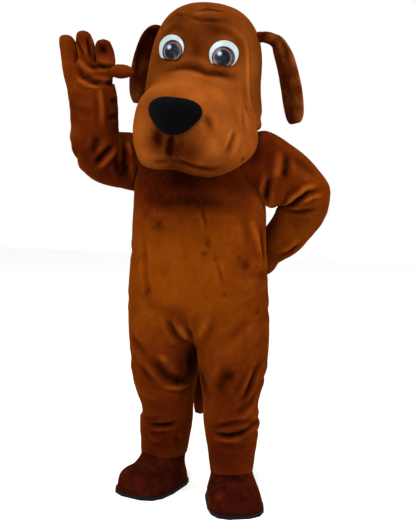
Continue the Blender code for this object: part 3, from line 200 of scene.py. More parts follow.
# Raised sleeve
RIGHT_SLEEVE_CREASES = (
    (((-280, -296, 172), (-280, -294, 117), (-287, -283, 50), (-288, -273, 8)), 10, -5, 0.8),
    (((-262, -262, 112), (-250, -228, 118), (-246, -190, 112)), 10, 8, -0.8),
    (((-276, -268, 50), (-256, -236, 58), (-246, -190, 52)), 10, 8, -0.8),
    (((-300, -292, 84), (-340, -300, 78), (-376, -292, 88)), 14, 4, -0.4),
    (((-256, -197, -57), (-280, -232, -100), (-326, -234, -141)), 11, -10, 1),
    (((-258, -216, -40), (-290, -250, -84), (-330, -246, -126)), 12, 12, -1),
    (((-300, -284, -10), (-309, -279, -41), (-333, -271, -86)), 13, 7, -0.7),
    (((-382, -262, 10), (-420, -236, -10), (-436, -210, -30)), 20, -6, 0.7),
    (((-240, -96, 6), (-241, -128, -53), (-229, -119, -142), (-246, -78, -195)), 10, -7, 1),
    (((-254, -148, -30), (-244, -160, -119), (-252, -119, -190)), 12, 11, -1),
    (((-262, -180, -20), (-266, -186, -80), (-264, -150, -150)), 9, -5, 0.5),
    (((-262, -210, -87), (-259, -177, -141), (-264, -125, -192)), 12, 7, -0.8),
    (((-433, -250, 20), (-444, -200, -20), (-442, -140, -60)), 13, 8, -0.6),
    (((-382, -280, -50), (-425, -220, -100), (-434, -150, -130)), 15, 8, -0.6),
    (((-425, -270, 70), (-433, -200, 90), (-405, -150, 80)), 14, 6, -0.5),
    (((-280, 69, -170), (-335, 74, -110), (-400, -19, -80)), 14, 9, -0.7),
    (((-280, 87, -120), (-330, 70, -70), (-380, -21, -40)), 12, -5, 0.5),
    (((-300, -129, 30), (-360, -119, 50), (-410, -142, 40)), 13, 8, -0.6),
    (((-290, -140, 90), (-350, -128, 96), (-400, -150, 88)), 13, 5, -0.4),
)

# Bent sleeve, its hand behind the hip
LEFT_SLEEVE_CREASES = (
    (((343, -53, -60), (348, -76, -120), (336, -75, -180)), 16, -6, 0.9),
    (((372, -52, -70), (378, -66, -130), (362, -66, -180)), 16, 7, -0.8),
    (((304, -92, -150), (280, -66, -205), (262, -50, -240)), 10, -6, 0.9),
    (((318, -90, -160), (292, -52, -220), (270, -22, -276)), 11, 8, -0.9),
    (((316, 90, -290), (345, 40, -275), (383, -13, -248), (432, -12, -209), (477, 35, -198)),
     10, -9, 1),
    (((330, 80, -300), (360, 30, -285), (400, -2, -262), (446, 2, -229), (484, 40, -216)), 11, 13, -1),
    (((405, -1, -270), (460, 14, -244), (496, 56, -236)), 9, -5, 0.7),
    (((345, 60, -312), (380, 34, -312), (412, 30, -310), (475, 50, -286)), 11, 9, -0.9),
    (((276, 157, -499), (321, 148, -475), (379, 139, -434)), 12, 7, -0.8),
    (((300, 140, -470), (350, 126, -440), (390, 118, -405)), 12, -4, 0.5),
    (((361, -50, -80), (427, 0, -120), (475, 50, -170)), 20, 4, -0.4),
    (((300, 134, -130), (360, 170, -180), (400, 213, -240)), 15, 8, -0.6),
    (((330, 185, -270), (390, 237, -290), (450, 214, -280)), 13, 9, -0.7),
    (((340, 266, -350), (390, 252, -380), (420, 232, -370)), 13, 6, -0.5),
    (((250, 288, -420), (280, 296, -460), (310, 264, -490)), 13, 6, -0.5),
    (((330, 150, -215), (380, 190, -238), (440, 180, -236)), 12, -4, 0.4),
)

# Raised glove: wrist, palm, splits between the fingers
RIGHT_GLOVE_CREASES = (
    (((-285, -288, 262), (-250, -272, 264), (-212, -250, 262)), 27, -9, 0.1),
    (((-338, -308, 186), (-293, -294, 181), (-261, -244, 181), (-250, -200, 182)), 9, 9, -1),
    (((-366, -308, 196), (-320, -305, 172), (-285, -293, 165)), 9, -4, 0.6),
    (((-324, -296, 256), (-300, -292, 240), (-253, -269, 243)), 8, 6, -0.8),
    (((-370, -306, 240), (-338, -308, 201), (-293, -294, 198)), 9, 5, -0.6),
    (((-372, -296, 272), (-321, -302, 229), (-292, -294, 211)), 9, -4, 0.7),
    (((-358, -318, 346), (-352, -306, 312), (-346, -300, 290), (-337, -297, 270)), 8, 9, -1),
    (((-309, -316, 346), (-311, -299, 308), (-315, -281, 269)), 8, 9, -1),
    (((-358, -236, 330), (-350, -226, 300), (-342, -222, 270)), 8, 8, -0.9),
    (((-309, -232, 330), (-311, -222, 300), (-314, -218, 268)), 8, 8, -0.9),
    (((-276, -307, 306), (-256, -305, 300), (-240, -302, 304)), 15, 8, -1),
    (((-305, -284, 256), (-265, -282, 246), (-239, -248, 254)), 9, 6, -0.8),
    (((-400, -260, 210), (-396, -230, 240), (-386, -214, 262)), 12, 4, -0.4),
    (((-350, -210, 200), (-310, -202, 212), (-280, -206, 206)), 12, 5, -0.5),
)

LEFT_GLOVE_CREASES = (
    (((170, 293, -430), (200, 302, -470), (210, 299, -510)), 11, 5, -0.6),
    (((240, 296, -452), (226, 300, -492), (205, 296, -530)), 11, 5, -0.6),
    (((140, 296, -450), (120, 300, -440), (90, 300, -430)), 10, 5, -0.6),
    (((130, 296, -490), (100, 298, -492), (70, 294, -492)), 9, 7, -0.8),
    (((135, 290, -540), (105, 292, -545), (75, 288, -548)), 9, 7, -0.8),
)

FOOT_CREASES = (
    (((-240, -60, -1352), (-190, -80, -1345), (-130, -66, -1350)), 14, 4, -0.5),
    (((-190, -150, -1390), (-200, -160, -1425)), 16, 3, 0.4),
    (((-296, -90, -1390), (-270, -110, -1370)), 15, 3, -0.3),
    (((110, -104, -1350), (170, -112, -1346), (225, -88, -1352)), 14, 4, -0.5),
    (((150, -190, -1385), (165, -206, -1425)), 16, 3, 0.4),
    (((240, -170, -1380), (262, -186, -1410)), 15, 3, -0.3),
    (((-200, 130, -1370), (-150, 138, -1365)), 14, 4, -0.4),
    (((120, 60, -1370), (180, 66, -1365)), 14, 4, -0.4),
)

HEAD_CREASES = (
    # brow wrinkles
    (((45, -130, 442), (76, -108, 452), (120, -101, 444), (153, -89, 438)), 8, 3.5, -0.7),
    (((15, -149, 423), (71, -149, 408), (124, -140, 405), (154, -122, 408)), 8, 3.5, -0.7),
    (((-45, -129, 435), (-20, -138, 432), (4, -146, 428)), 8, 2.5, -0.5),
    (((30, -138, 433), (76, -128, 430), (134, -118, 424)), 8, -2.5, 0.5),
    (((60, -92, 462), (96, -84, 462), (130, -80, 452)), 8, 2, -0.4),
    # sockets and the fold where the muzzle starts
    (((107, -170, 362), (154, -161, 372), (200, -138, 352), (222, -116, 304)), 13, 4, -0.8),
    (((-92, -168, 352), (-33, -182, 392), (26, -189, 366)), 13, 4, -0.8),
    (((65, -184, 330), (66, -199, 262)), 18, 3, -0.4),
    (((-69, -213, 214), (-34, -219, 230), (32, -220, 238), (82, -217, 229), (113, -213, 216),
      (142, -194, 215), (190, -157, 201), (222, -110, 197)), 15, 8, -1),
    # cheek seam, split lip and mouth
    (((216, -98, 372), (228, -94, 300), (232, -90, 200), (226, -82, 110), (210, -30, 50)), 9, -3, 0.7),
    (((222, -130, 300), (231, -122, 200), (228, -118, 100), (216, -110, 20)), 10, 2, -0.4),
    (((219, -139, 90), (227, -192, 43), (232, -222, 0)), 9, 2.5, -0.5),
    (((56, -420, 0), (54, -419, -20), (39, -400, -54), (24, -373, -98)), 10, 7, -1),
    (((229, -262, 12), (227, -280, -17), (222, -292, -40), (209, -305, -78)), 10, 6, -1),
    (((205, -296, -113), (172, -332, -124), (128, -357, -119), (78, -368, -104), (33, -369, -100)),
     8, 6, -0.8),
    (((24, -369, -102), (-8, -375, -106), (-42, -372, -108)), 8, 5, -0.6),
    (((161, -388, 60), (179, -376, 33), (186, -366, -4)), 13, 3, -0.7),
    (((190, -372, -10), (192, -356, -54), (192, -322, -98)), 18, -3, 0.3),
    (((3, -425, 12), (-2, -414, -20), (-8, -404, -56)), 16, 2, -0.7),
    # mirror places on the wearer's right
    (((-170, -190, 20), (-172, -230, -30), (-150, -270, -70)), 10, 5, -0.7),
    (((-150, -130, 300), (-178, -122, 200), (-184, -118, 100)), 10, 2, -0.4),
    # behind and above
    (((100, 160, 440), (20, 156, 450), (-60, 144, 440)), 14, 2, -0.3),
    (((120, 219, 100), (0, 234, 80), (-110, 204, 100)), 15, 3, -0.4),
)

EAR_CREASES = (
    (((196, 40, 352), (232, 42, 348), (258, 50, 344), (290, 56, 320)), 23, -25, -0.4),
    (((300, -8, 380), (341, 27, 310), (362, 30, 220)), 14, 4, -0.6),
    (((377, 17, 250), (402, 11, 150), (408, 15, 60)), 14, 3, -0.5),
    (((246, 20, 372), (262, 26, 352), (270, 30, 330)), 12, 4, -0.7),
    (((-214, -24, 360), (-236, -30, 280), (-250, -36, 200)), 15, 4, -0.7),
    (((-190, -26, 340), (-216, -32, 250), (-226, -36, 180)), 13, -3, 0.4),
)

TAIL_CREASES = (
    (((20, 280, -700), (-20, 300, -706), (-50, 284, -700)), 13, 4, -0.5),
    (((-10, 300, -820), (-50, 306, -832)), 14, 3, -0.4),
    (((-60, 292, -1000), (-96, 270, -1010)), 14, 3, -0.4),
)

# Places fuller or flatter than the solids: middle, radius, push
NO_SWELLS = ()
HEAD_SWELLS = (
    ((222, -110, -15), 75, (40, 14, 0)), ((222, -195, -80), 80, (38, 13, -10)),
    ((228, -30, 15), 62, (26, 6, -12)), ((238, -50, 34), 52, (16, 5, 0)),
    ((230, 60, 70), 75, (13, 0, 0)), ((225, -20, 25), 75, (6, 0, -30)),
    ((222, -160, -40), 95, (18, 0, 0)),
    ((-165, -330, -80), 75, (18, 0, 10)), ((170, -250, -130), 70, (4, 0, -16)),
    ((-172, -110, -5), 65, (-24, 4, 0)), ((70, 20, 480), 150, (-5, 0, 9)),
    ((120, -340, -140), 80, (0, -2, -6)), ((10, -215, 215), 70, (0, 5, 0)),
)
RIGHT_SLEEVE_SWELLS = (((-345, -230, 70), 120, (13, 0, 0)), ((-240, -245, 60), 70, (8, 0, 0)))
# Both sides of the left armhole seam move as one
ARMHOLE_SWELLS = (((262, 20, -10), 62, (0, 0, 22)), ((292, -16, -262), 50, (8, -10, -48)))
LEFT_SLEEVE_SWELLS = (
    *ARMHOLE_SWELLS, ((500, 80, -212), 50, (13, 4, 4)),
    ((330, 70, -330), 60, (-24, -10, 22)), ((330, 150, -480), 70, (8, 4, -8)),
)
SUIT_SWELLS = (*ARMHOLE_SWELLS, ((262, -30, -330), 90, (12, -4, 0)), ((-150, -40, -1120), 60, (-4, 0, 0)))
RIGHT_GLOVE_SWELLS = (
    ((-225, -262, 268), 55, (4, -14, -12)), ((-345, -290, 350), 30, (0, -10, 0)),
    ((-312, -290, 330), 30, (0, -8, 0)),
)
RIGHT_FOOT_SWELLS = (((-250, -130, -1375), 85, (-10, -12, 52)), ((-180, -150, -1380), 70, (4, -8, 22)))
LEFT_FOOT_SWELLS = (((190, -190, -1385), 80, (0, -8, 26)), ((80, -140, -1390), 50, (-8, 0, 6)))
RIGHT_EAR_SWELLS = (((-172, 10, 385), 55, (-6, 0, 22)),)

# Pressed places in the pile, and painted shade on the chest under the head, under the nose, between the legs
# and on the tail: middle, radius, tone
PILE_MARKS_AND_PAINTED_SHADE = (
    ((-95, -183, -353), 17, -0.9), ((105, -186, -411), 15, -1), ((94, -195, -454), 12, -0.8),
    ((133, -183, -465), 10, -0.8), ((232, -117, -497), 19, -1), ((214, -132, -470), 12, -0.6),
    ((-134, -194, -599), 14, -0.8), ((171, -176, -607), 9, -0.9), ((270, -78, -679), 12, -0.8),
    ((388, 73, -369), 15, -0.7), ((310, 92, -347), 16, -0.6), ((430, 60, -352), 12, -0.5),
    ((-145, -190, -620), 14, -0.5), ((20, -186, -470), 22, -0.4), ((60, -190, -540), 26, -0.35),
    ((-60, -196, -520), 24, -0.3), ((-30, 180, -340), 18, -0.7), ((120, 160, -470), 20, -0.6),
    ((-150, 160, -610), 18, -0.6), ((80, 184, -640), 20, -0.5), ((-280, 0, -560), 18, -0.6),
    ((278, 10, -620), 16, -0.6), ((-180, 150, -330), 16, -0.5), ((190, -150, -930), 18, -0.6),
    ((-240, -90, -940), 16, -0.5), ((200, 150, -1040), 16, -0.5), ((-160, 160, -1060), 18, -0.5),
    ((20, -175, -185), 120, -0.4), ((0, -120, -60), 120, -0.5), ((50, -412, -70), 34, -0.8),
    ((20, -412, -10), 30, -0.5), ((0, -60, -960), 60, -0.8), ((0, -20, -880), 60, -0.8),
    ((-20, 280, -900), 90, -0.8), ((-60, 280, -1060), 90, -0.8), ((223, -117, 92), 5, -1),
    ((228, -246, -84), 7, -0.9), ((120, -262, -300), 20, -0.3),
)

# Painted light and shade on the pile: middle, radius, share of gold (painted light, partly the plush's own
# golden tone), share of maroon (painted shade)
SUIT_PAINTED_LIGHT_AND_SHADE = (
    ((0, -190, -520), 260, 0.85, 0), ((150, -190, -420), 150, 0.6, 0),
    ((-120, -190, -430), 150, 0.5, 0), ((130, -200, -640), 170, 0.6, 0),
    ((-130, -200, -700), 160, 0.5, 0), ((160, -180, -800), 120, 0.4, 0),
    ((20, -170, -180), 170, 0, 1), ((-120, -150, -240), 90, 0, 0.9),
    ((0, -100, -60), 170, 0, 1), ((-130, -130, -950), 130, 0, 0.6), ((190, -110, -970), 140, 0, 0.75),
    ((60, -90, -960), 110, 0, 0.8), ((-60, -90, -900), 90, 0, 0.6), ((-130, -70, -1120), 120, 0, 0.7),
    ((170, -110, -1130), 120, 0, 0.8), ((0, -214, -700), 50, 0, 0.6), ((-150, -120, -190), 120, 0, 0.75),
    ((200, -110, -170), 110, 0, 0.7), ((-200, -60, -90), 130, 0, 0.8),
    ((0, -100, -900), 120, 0, 0.7), ((-150, -60, -1240), 150, 0, 1),
    ((150, -90, -1240), 150, 0, 1), ((-60, -60, -1040), 100, 0, 0.3),
    ((0, 180, -420), 260, 0.6, 0), ((0, 160, -130), 170, 0, 0.7),
    ((-150, 160, -820), 160, 0.35, 0), ((150, 160, -820), 160, 0.35, 0),
    ((-160, 130, -1230), 150, 0, 0.9), ((150, 80, -1230), 150, 0, 0.9),
)
RIGHT_ARM_PAINTED_LIGHT_AND_SHADE = (
    ((-260, -200, 60), 130, 0, 1), ((-270, -170, -120), 130, 0, 1),
    ((-350, -260, -70), 120, 0, 0.9), ((-370, -290, 90), 110, 0, 0.75),
    ((-420, -250, 0), 60, 0.45, 0), ((-360, -60, -120), 160, 0, 0.8),
    ((-360, -140, 90), 120, 0, 0.7),
)
LEFT_ARM_PAINTED_LIGHT_AND_SHADE = (
    ((290, -70, -80), 120, 0, 1), ((300, -60, -180), 80, 0, 0.8), ((390, -30, -160), 90, 0, 0.5),
    ((350, 110, -380), 120, 0.6, 0), ((420, 90, -330), 90, 0.4, 0),
    ((460, 70, -220), 70, 0.3, 0), ((330, 190, -150), 140, 0, 0.4),
    ((400, 60, -290), 60, 0, 0.7),
)
RIGHT_HAND_PAINTED_LIGHT_AND_SHADE = (
    ((-390, -300, 310), 55, 0.4, 0), ((-330, -310, 330), 50, 0, 0.6),
    ((-255, -310, 300), 62, 0, 1), ((-310, -290, 240), 80, 0, 0.6),
    ((-200, -230, 262), 50, 0.5, 0), ((-200, -230, 236), 40, 0, 0.7), ((-340, -200, 260), 120, 0, 0.7),
)
HEAD_PAINTED_LIGHT_AND_SHADE = (
    ((60, -190, 335), 130, 0, 0.75), ((190, -150, 290), 70, 0, 0.7),
    ((-60, -190, 300), 80, 0, 0.7), ((120, -170, 385), 90, 0, 0.9), ((-20, -170, 400), 80, 0, 0.8),
    ((60, -210, 250), 60, 0, 0.7),
    ((60, -290, 165), 110, 1, 0), ((160, -270, 120), 100, 1, 0), ((0, -330, 150), 80, 1, 0),
    ((120, -340, 100), 80, 1, 0), ((-60, -300, 150), 90, 0.9, 0),
    ((235, -80, 230), 110, 0.6, 0), ((225, -160, 60), 110, 0.85, 0), ((215, -300, 0), 100, 0.9, 0),
    ((185, -350, -50), 75, 0.9, 0), ((230, -200, -60), 90, 0.7, 0),
    ((-80, -395, 0), 85, 0.9, 0), ((-66, -380, -80), 60, 0.9, 0),
    ((60, -410, -60), 75, 0, 0.95), ((0, -412, -30), 62, 0, 0.9), ((110, -390, -75), 70, 0, 0.85),
    ((60, -360, -130), 110, 0, 0.75), ((150, -330, -140), 90, 0, 0.6),
    ((0, 160, 200), 260, 0.25, 0.2), ((-190, 0, 200), 120, 0.4, 0),
)
EAR_PAINTED_LIGHT_AND_SHADE = (
    ((300, 20, 372), 34, 0.6, 0), ((336, 22, 330), 36, 0.9, 0), ((372, 22, 262), 38, 0.95, 0),
    ((404, 20, 190), 38, 0.95, 0), ((418, 22, 120), 40, 1, 0), ((420, 24, 58), 42, 0.9, 0),
    ((352, 0, 240), 40, 0, 0.9), ((366, -4, 160), 36, 0, 0.9), ((376, 0, 90), 30, 0, 0.8),
    ((-262, -40, 140), 60, 0.5, 0), ((-246, -34, 250), 40, 0.4, 0), ((-200, -20, 330), 70, 0, 0.8),
    ((-205, -30, 220), 60, 0, 0.8),
)
FOOT_PAINTED_LIGHT_AND_SHADE = (
    ((-200, -170, -1420), 90, 0.4, 0), ((-300, -120, -1400), 70, 0.3, 0),
    ((170, -220, -1420), 90, 0.35, 0), ((270, -190, -1410), 60, 0.3, 0),
)
# Tail: painted shade over the tail, which hangs in shadow behind the legs
TAIL_PAINTED_SHADE = (((-40, 290, -820), 160, 0, 1), ((-70, 290, -1060), 150, 0, 0.9))
NO_PAINTED_ZONES = ()

# Colour of the light that pile catches at the edges
SHEEN_TINT = "A85A10"


def srgb(hex_colour):
    """Linear colour from a six-digit screen colour."""
    channels = [int(hex_colour[i:i + 2], 16) / 255.0 for i in (0, 2, 4)]
    return (*[c / 12.92 if c <= 0.04045 else ((c + 0.055) / 1.055) ** 2.4 for c in channels], 1.0)


# Making and shaping pieces

def select_only(*things):
    bpy.ops.object.select_all(action="DESELECT")
    for thing in things:
        thing.select_set(True)
    bpy.context.view_layer.objects.active = things[0]


@contextmanager
def edit_mode(thing):
    select_only(thing)
    bpy.ops.object.mode_set(mode="EDIT")
    yield
    bpy.ops.object.mode_set(mode="OBJECT")


def points_of(thing):
    values = np.empty(3 * len(thing.data.vertices))
    thing.data.vertices.foreach_get("co", values)
    return values.reshape(-1, 3)


def copy_of(node, name):
    """A copy of a CAD node with its doubled corners merged."""
    thing = bpy.data.objects.new(name, NODES[node].data.copy())
    bpy.context.scene.collection.objects.link(thing)
    thing.data.materials.clear()
    select_only(thing)
    if thing.data.has_custom_normals:
        bpy.ops.mesh.customdata_custom_splitnormals_clear()
    with edit_mode(thing):
        bpy.ops.mesh.select_all(action="SELECT")
        bpy.ops.mesh.remove_doubles(threshold=CORNER_MERGE)
        bpy.ops.mesh.normals_make_consistent(inside=False)
    return thing


def delete_faces(thing, chosen):
    bpy.context.tool_settings.mesh_select_mode = (False, False, True)
    thing.data.polygons.foreach_set("select", chosen)
    thing.data.update()
    with edit_mode(thing):
        bpy.ops.mesh.delete(type="FACE")


def sheet_labels(mesh):
    """Number of the connected sheet that each face belongs to."""
    parent = list(range(len(mesh.vertices)))

    def root(i):
        while parent[i] != i:
            parent[i] = parent[parent[i]]
            i = parent[i]
        return i

    for face in mesh.polygons:
        first = root(face.vertices[0])
        for corner in face.vertices[1:]:
            parent[root(corner)] = first
    return np.array([root(face.vertices[0]) for face in mesh.polygons])


def outside_of(node, name, wall, middle):
    """The outer sheet of one CAD wall: the faces across its edge go, then the sheet facing inwards."""
    thing = copy_of(node, name)
    mesh = thing.data
    points = points_of(thing)
    across_wall = []
    for face in mesh.polygons:
        corners = points[list(face.vertices)]
        sides = np.linalg.norm(corners - np.roll(corners, 1, axis=0), axis=1)
        across_wall.append(bool(sides.min() < wall))
    delete_faces(thing, across_wall)
    labels = sheet_labels(mesh)
    facing = facing_of(thing, middle)
    inward = np.zeros(len(labels), bool)
    for label in np.unique(labels):
        own = labels == label
        if facing[own].sum() <= 0.0 or own.sum() < SMALL_SHEET * len(labels):
            inward |= own
    delete_faces(thing, inward)
    return thing


def facing_of(thing, middle):
    """How much each face looks away from a middle, times its area."""
    faces = thing.data.polygons
    return np.array([face.area * (face.normal @ (face.center - Vector(middle))) for face in faces])


def outside_of_foam(nodes, name):
    """The outer sheet of the foam panels together: the faces whose sight lines mostly leave the head."""
    pieces = [copy_of(node, "foam_" + node) for node in nodes]
    thing = joined(pieces)
    mesh = thing.data
    tree = tree_of(thing)
    turns = [2.0 * math.pi * turn / SIGHT_LINES for turn in range(SIGHT_LINES)]
    hidden = []
    for face in mesh.polygons:
        out = face.normal
        across = out.orthogonal().normalized()
        along = out.cross(across)
        ways = [(out + SIGHT_LEANS[i % 2] * (math.cos(turn) * across + math.sin(turn) * along)).normalized()
                for i, turn in enumerate(turns)]
        stopped = sum(tree.ray_cast(face.center + SIGHT_START * out, way)[0] is not None for way in ways)
        depth = tree.ray_cast(face.center - BEHIND_FACE * out, -out)[3]
        corners = [mesh.vertices[i].co for i in face.vertices]
        sides = [(corner - corners[i - 1]).length for i, corner in enumerate(corners)]
        rim = (any(abs(side - FOAM_WALL) < FOAM_WALL_SPREAD for side in sides)
               and (depth is None or depth > RIM_DEPTH))
        hidden.append(rim or 2 * stopped > SIGHT_LINES)
    delete_faces(thing, hidden)
    return without_fins(sewn(name, [thing], HEAD_MERGE))


def joined(pieces):
    select_only(*pieces)
    bpy.ops.object.join()
    return bpy.context.view_layer.objects.active


def sewn(name, pieces, merge=SEAM_MERGE):
    """One sheet from several, merged where they meet, in quads where the grid allows."""
    thing = joined(pieces)
    thing.name = name
    thing.data.name = name
    with edit_mode(thing):
        bpy.ops.mesh.select_all(action="SELECT")
        bpy.ops.mesh.remove_doubles(threshold=merge)
    return squared(thing, SEWN_QUADS)


def without_fins(thing):
    """Leaves out what stands off a seam: faces with an edge shared by three faces and an edge that is free."""
    mesh = thing.data
    fins = True
    while np.any(fins):
        edges = np.zeros(len(mesh.loops), dtype=np.int32)
        mesh.loops.foreach_get("edge_index", edges)
        uses = np.bincount(edges, minlength=len(mesh.edges))[edges]
        shared = [uses[face.loop_start:face.loop_start + face.loop_total] for face in mesh.polygons]
        fins = [bool(max(own) > 2 and min(own) == 1) for own in shared]
        delete_faces(thing, fins)
    labels = sheet_labels(mesh)
    names, sizes = np.unique(labels, return_counts=True)
    delete_faces(thing, labels != names[np.argmax(sizes)])
    return thing


def squared(thing, angles):
    """Pairs of triangles made into quads up to two angles."""
    fold, corner = map(math.radians, angles)
    with edit_mode(thing):
        bpy.ops.mesh.select_all(action="SELECT")
        bpy.ops.mesh.tris_convert_to_quads(face_threshold=fold, shape_threshold=corner)
    return thing


def split_level_edges(thing):
    """One more column between each two, by cutting the edges that run level round the body."""
    points = points_of(thing)
    mesh = thing.data
    pairs = np.array([edge.vertices[:] for edge in mesh.edges])
    run = points[pairs[:, 1]] - points[pairs[:, 0]]
    level = np.abs(run[:, 2]) < LEVEL_SLOPE * np.linalg.norm(run[:, :2], axis=1)
    bpy.context.tool_settings.mesh_select_mode = (False, True, False)
    with edit_mode(thing):
        bpy.ops.mesh.select_all(action="DESELECT")
    mesh.edges.foreach_set("select", level)
    with edit_mode(thing):
        bpy.ops.mesh.subdivide(number_cuts=1)


def rounded(thing, levels):
    """Smooth finer mesh in place of the coarse one."""
    select_only(thing)
    smooth = thing.modifiers.new("rounded", "SUBSURF")
    smooth.levels = smooth.render_levels = levels
    smooth.boundary_smooth = "PRESERVE_CORNERS"
    bpy.ops.object.modifier_apply(modifier=smooth.name)


def near_line(points, line):
    """Distance of each point from a line of points, and how far along it that is, from 0 to 1."""
    line = np.array(line, float) * MM
    runs = np.diff(line, axis=0)
    lengths = np.linalg.norm(runs, axis=1)
    before = np.concatenate(([0.0], np.cumsum(lengths)))
    best = np.full(len(points), 1e9)
    along = np.zeros(len(points))
    for start, run, length, done in zip(line[:-1], runs, lengths, before):
        share = np.clip((points - start) @ run / length ** 2, 0.0, 1.0)
        away = np.linalg.norm(points - start - share[:, None] * run, axis=1)
        nearer = away < best
        best = np.where(nearer, away, best)
        along = np.where(nearer, (done + share * length) / before[-1], along)
    return best, along


def away_from(points, middle):
    """Distance in millimetres of each point from a place given in millimetres."""
    return np.linalg.norm(points - np.array(middle) * MM, axis=1) / MM


def soft(share):
    """Eased step from 0 to 1."""
    share = np.clip(share, 0.0, 1.0)
    return share * share * (3.0 - 2.0 * share)


def crease(thing, creases, waviness, middle=None, swells=NO_SWELLS):
    """Presses creases and slack into a sheet, and returns the shading to paint on it: shade in troughs and
    marked places, light on ridges and raised slack.
    """
    points = points_of(thing)
    mesh = thing.data
    normals = np.empty(3 * len(mesh.vertices))
    mesh.vertex_normals.foreach_get("vector", normals)
    normals = normals.reshape(-1, 3)
    if middle is not None and np.sum(normals * (points - middle)) < 0.0:
        mesh.flip_normals()
        normals = -normals
    lift = np.zeros(len(points))
    shade = np.zeros(len(points))
    for line, half_width, depth, tone in creases:
        away, along = near_line(points, line)
        reach = away / (half_width * MM)
        taper = soft(END_FADE * along + END_REST) * soft(END_FADE * (1.0 - along) + END_REST)
        bank = np.exp(-((reach - BANK_AT) / BANK_WIDTH) ** 2)
        lift -= depth * MM * taper * (np.exp(-reach ** 2) - BANK_HEIGHT * bank)
        shade += tone * taper * np.exp(-(TONE_NARROWER * reach) ** 2)
        shade -= BANK_TONE * tone * taper * np.exp(-((reach - BANK_TONE_AT) / BANK_WIDTH) ** 2)
    long_slack, short_slack = waviness
    for i, point in enumerate(points):
        place = Vector(point)
        broad = noise.noise(place * BROAD_WAVES)
        fine = noise.noise(place * FINE_WAVES + FINE_START)
        tuft = noise.noise(place * TUFT_WAVES + TUFT_START)
        lift[i] += (long_slack * broad + short_slack * fine + TUFT_LIFT * tuft) * MM
        shade[i] += BROAD_TONE * broad + FINE_TONE * fine
    for place, radius, tone in PILE_MARKS_AND_PAINTED_SHADE:
        away = away_from(points, place)
        near = away < 3 * radius
        ragged = np.array([noise.noise(Vector(point) * RAGGED_WAVES) for point in points[near]])
        shade[near] += tone * np.exp(-(away[near] / radius * (1.0 + 0.5 * ragged)) ** 2)
    moved = points + lift[:, None] * normals
    above_sole = soft((points[:, 2] - SOLE_TOP) / SOLE_BLEND)
    for place, radius, push in swells:
        share = above_sole * np.exp(-(away_from(points, place) / radius) ** 2)
        moved += share[:, None] * np.array(push) * MM
    mesh.vertices.foreach_set("co", moved.ravel())
    mesh.update()
    return moved, np.clip(shade, -1.0, 1.0)


def paint_light_and_shade(thing, points, shade, painted_zones):
    """Keeps each place's painted shading, its gold (painted light, partly the plush's own golden tone) and its
    maroon (painted shade) for the plush to read.
    """
    gold = np.zeros(len(points))
    maroon = np.zeros(len(points))
    for place, radius, gold_share, maroon_share in painted_zones:
        weight = np.exp(-PAINTED_ZONE_FALLOFF * (away_from(points, place) / radius) ** 2)
        gold = np.maximum(gold, gold_share * weight)
        maroon = np.maximum(maroon, maroon_share * weight)
    values = np.ones((len(points), 4))
    values[:, 0] = 0.5 + 0.5 * shade
    values[:, 1] = np.clip(gold, 0.0, 1.0)
    values[:, 2] = np.clip(maroon, 0.0, 1.0)
    layer = thing.data.color_attributes.new("pile", "FLOAT_COLOR", "POINT")
    layer.data.foreach_set("color", values.ravel())


def shell(thing, thick):
    """Gives a sheet its cloth's thickness, inwards."""
    wall = thing.modifiers.new("cloth", "SOLIDIFY")
    wall.thickness = thick
    wall.offset = -1.0


def dress(thing, material, nodes):
    """Finish, body and the CAD nodes that a piece stands for."""
    thing.data.materials.clear()
    thing.data.materials.append(material)
    select_only(thing)
    bpy.ops.object.shade_smooth()
    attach(thing, "costume")
    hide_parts(*nodes)


def tree_of(thing):
    mesh = thing.data
    return BVHTree.FromPolygons([v.co for v in mesh.vertices], [f.vertices[:] for f in mesh.polygons])


def on_head(tree, across, up):
    """Point of a surface straight behind a place in the head's own front view."""
    start = HEAD_AXES @ Vector((across, IN_FRONT, up)) + HEAD_CENTRE
    hit, _, _, _ = tree.ray_cast(start, HEAD_AXES.col[1])
    return hit


def reseat(thing, old_ground, new_ground, aim, move, shares, spare_ground=None):
    """Moves and scales a disc over the head's front, keeping its height above what carries it."""
    turned_back = HEAD_AXES.inverted()
    for vertex in thing.data.vertices:
        own = turned_back @ (vertex.co - HEAD_CENTRE)
        old = on_head(old_ground, own.x, own.z)
        height = DISC_HEIGHT if old is None else own.y - (turned_back @ (old - HEAD_CENTRE)).y
        across = aim[0] + move[0] + (own.x - aim[0]) * shares[0]
        rise = own.z - aim[1]
        up = aim[1] + move[1] + rise * (shares[1] if rise > 0.0 else shares[2])
        over_lid = up - (EYE_AIM[1] + EYE_DROP - EYE_CUT)
        if over_lid < EYE_CUT_SOFTNESS:
            up += EYE_CUT_SOFTNESS * math.exp(over_lid / EYE_CUT_SOFTNESS - 1.0) - over_lid
        new = on_head(new_ground, across, up)
        if new is None:
            new = on_head(spare_ground or new_ground, across, up)
            height -= OFF_DISC_DROP
        own = turned_back @ (new - HEAD_CENTRE)
        vertex.co = HEAD_AXES @ Vector((across, own.y + height, up)) + HEAD_CENTRE
    thing.data.update()


# Materials

def add(tree, kind, inputs=(), **settings):
    """A node with its settings and inputs; an input is a value or another node's output."""
    made = tree.nodes.new("ShaderNode" + kind)
    for key, value in settings.items():
        setattr(made, key, value)
    for key, value in dict(inputs).items():
        if isinstance(value, bpy.types.NodeSocket):
            tree.links.new(value, made.inputs[key])
        else:
            made.inputs[key].default_value = value
    return made


def new_material(name):
    material = bpy.data.materials.new(name)
    material.use_nodes = True
    return material, material.node_tree, material.node_tree.nodes["Principled BSDF"]


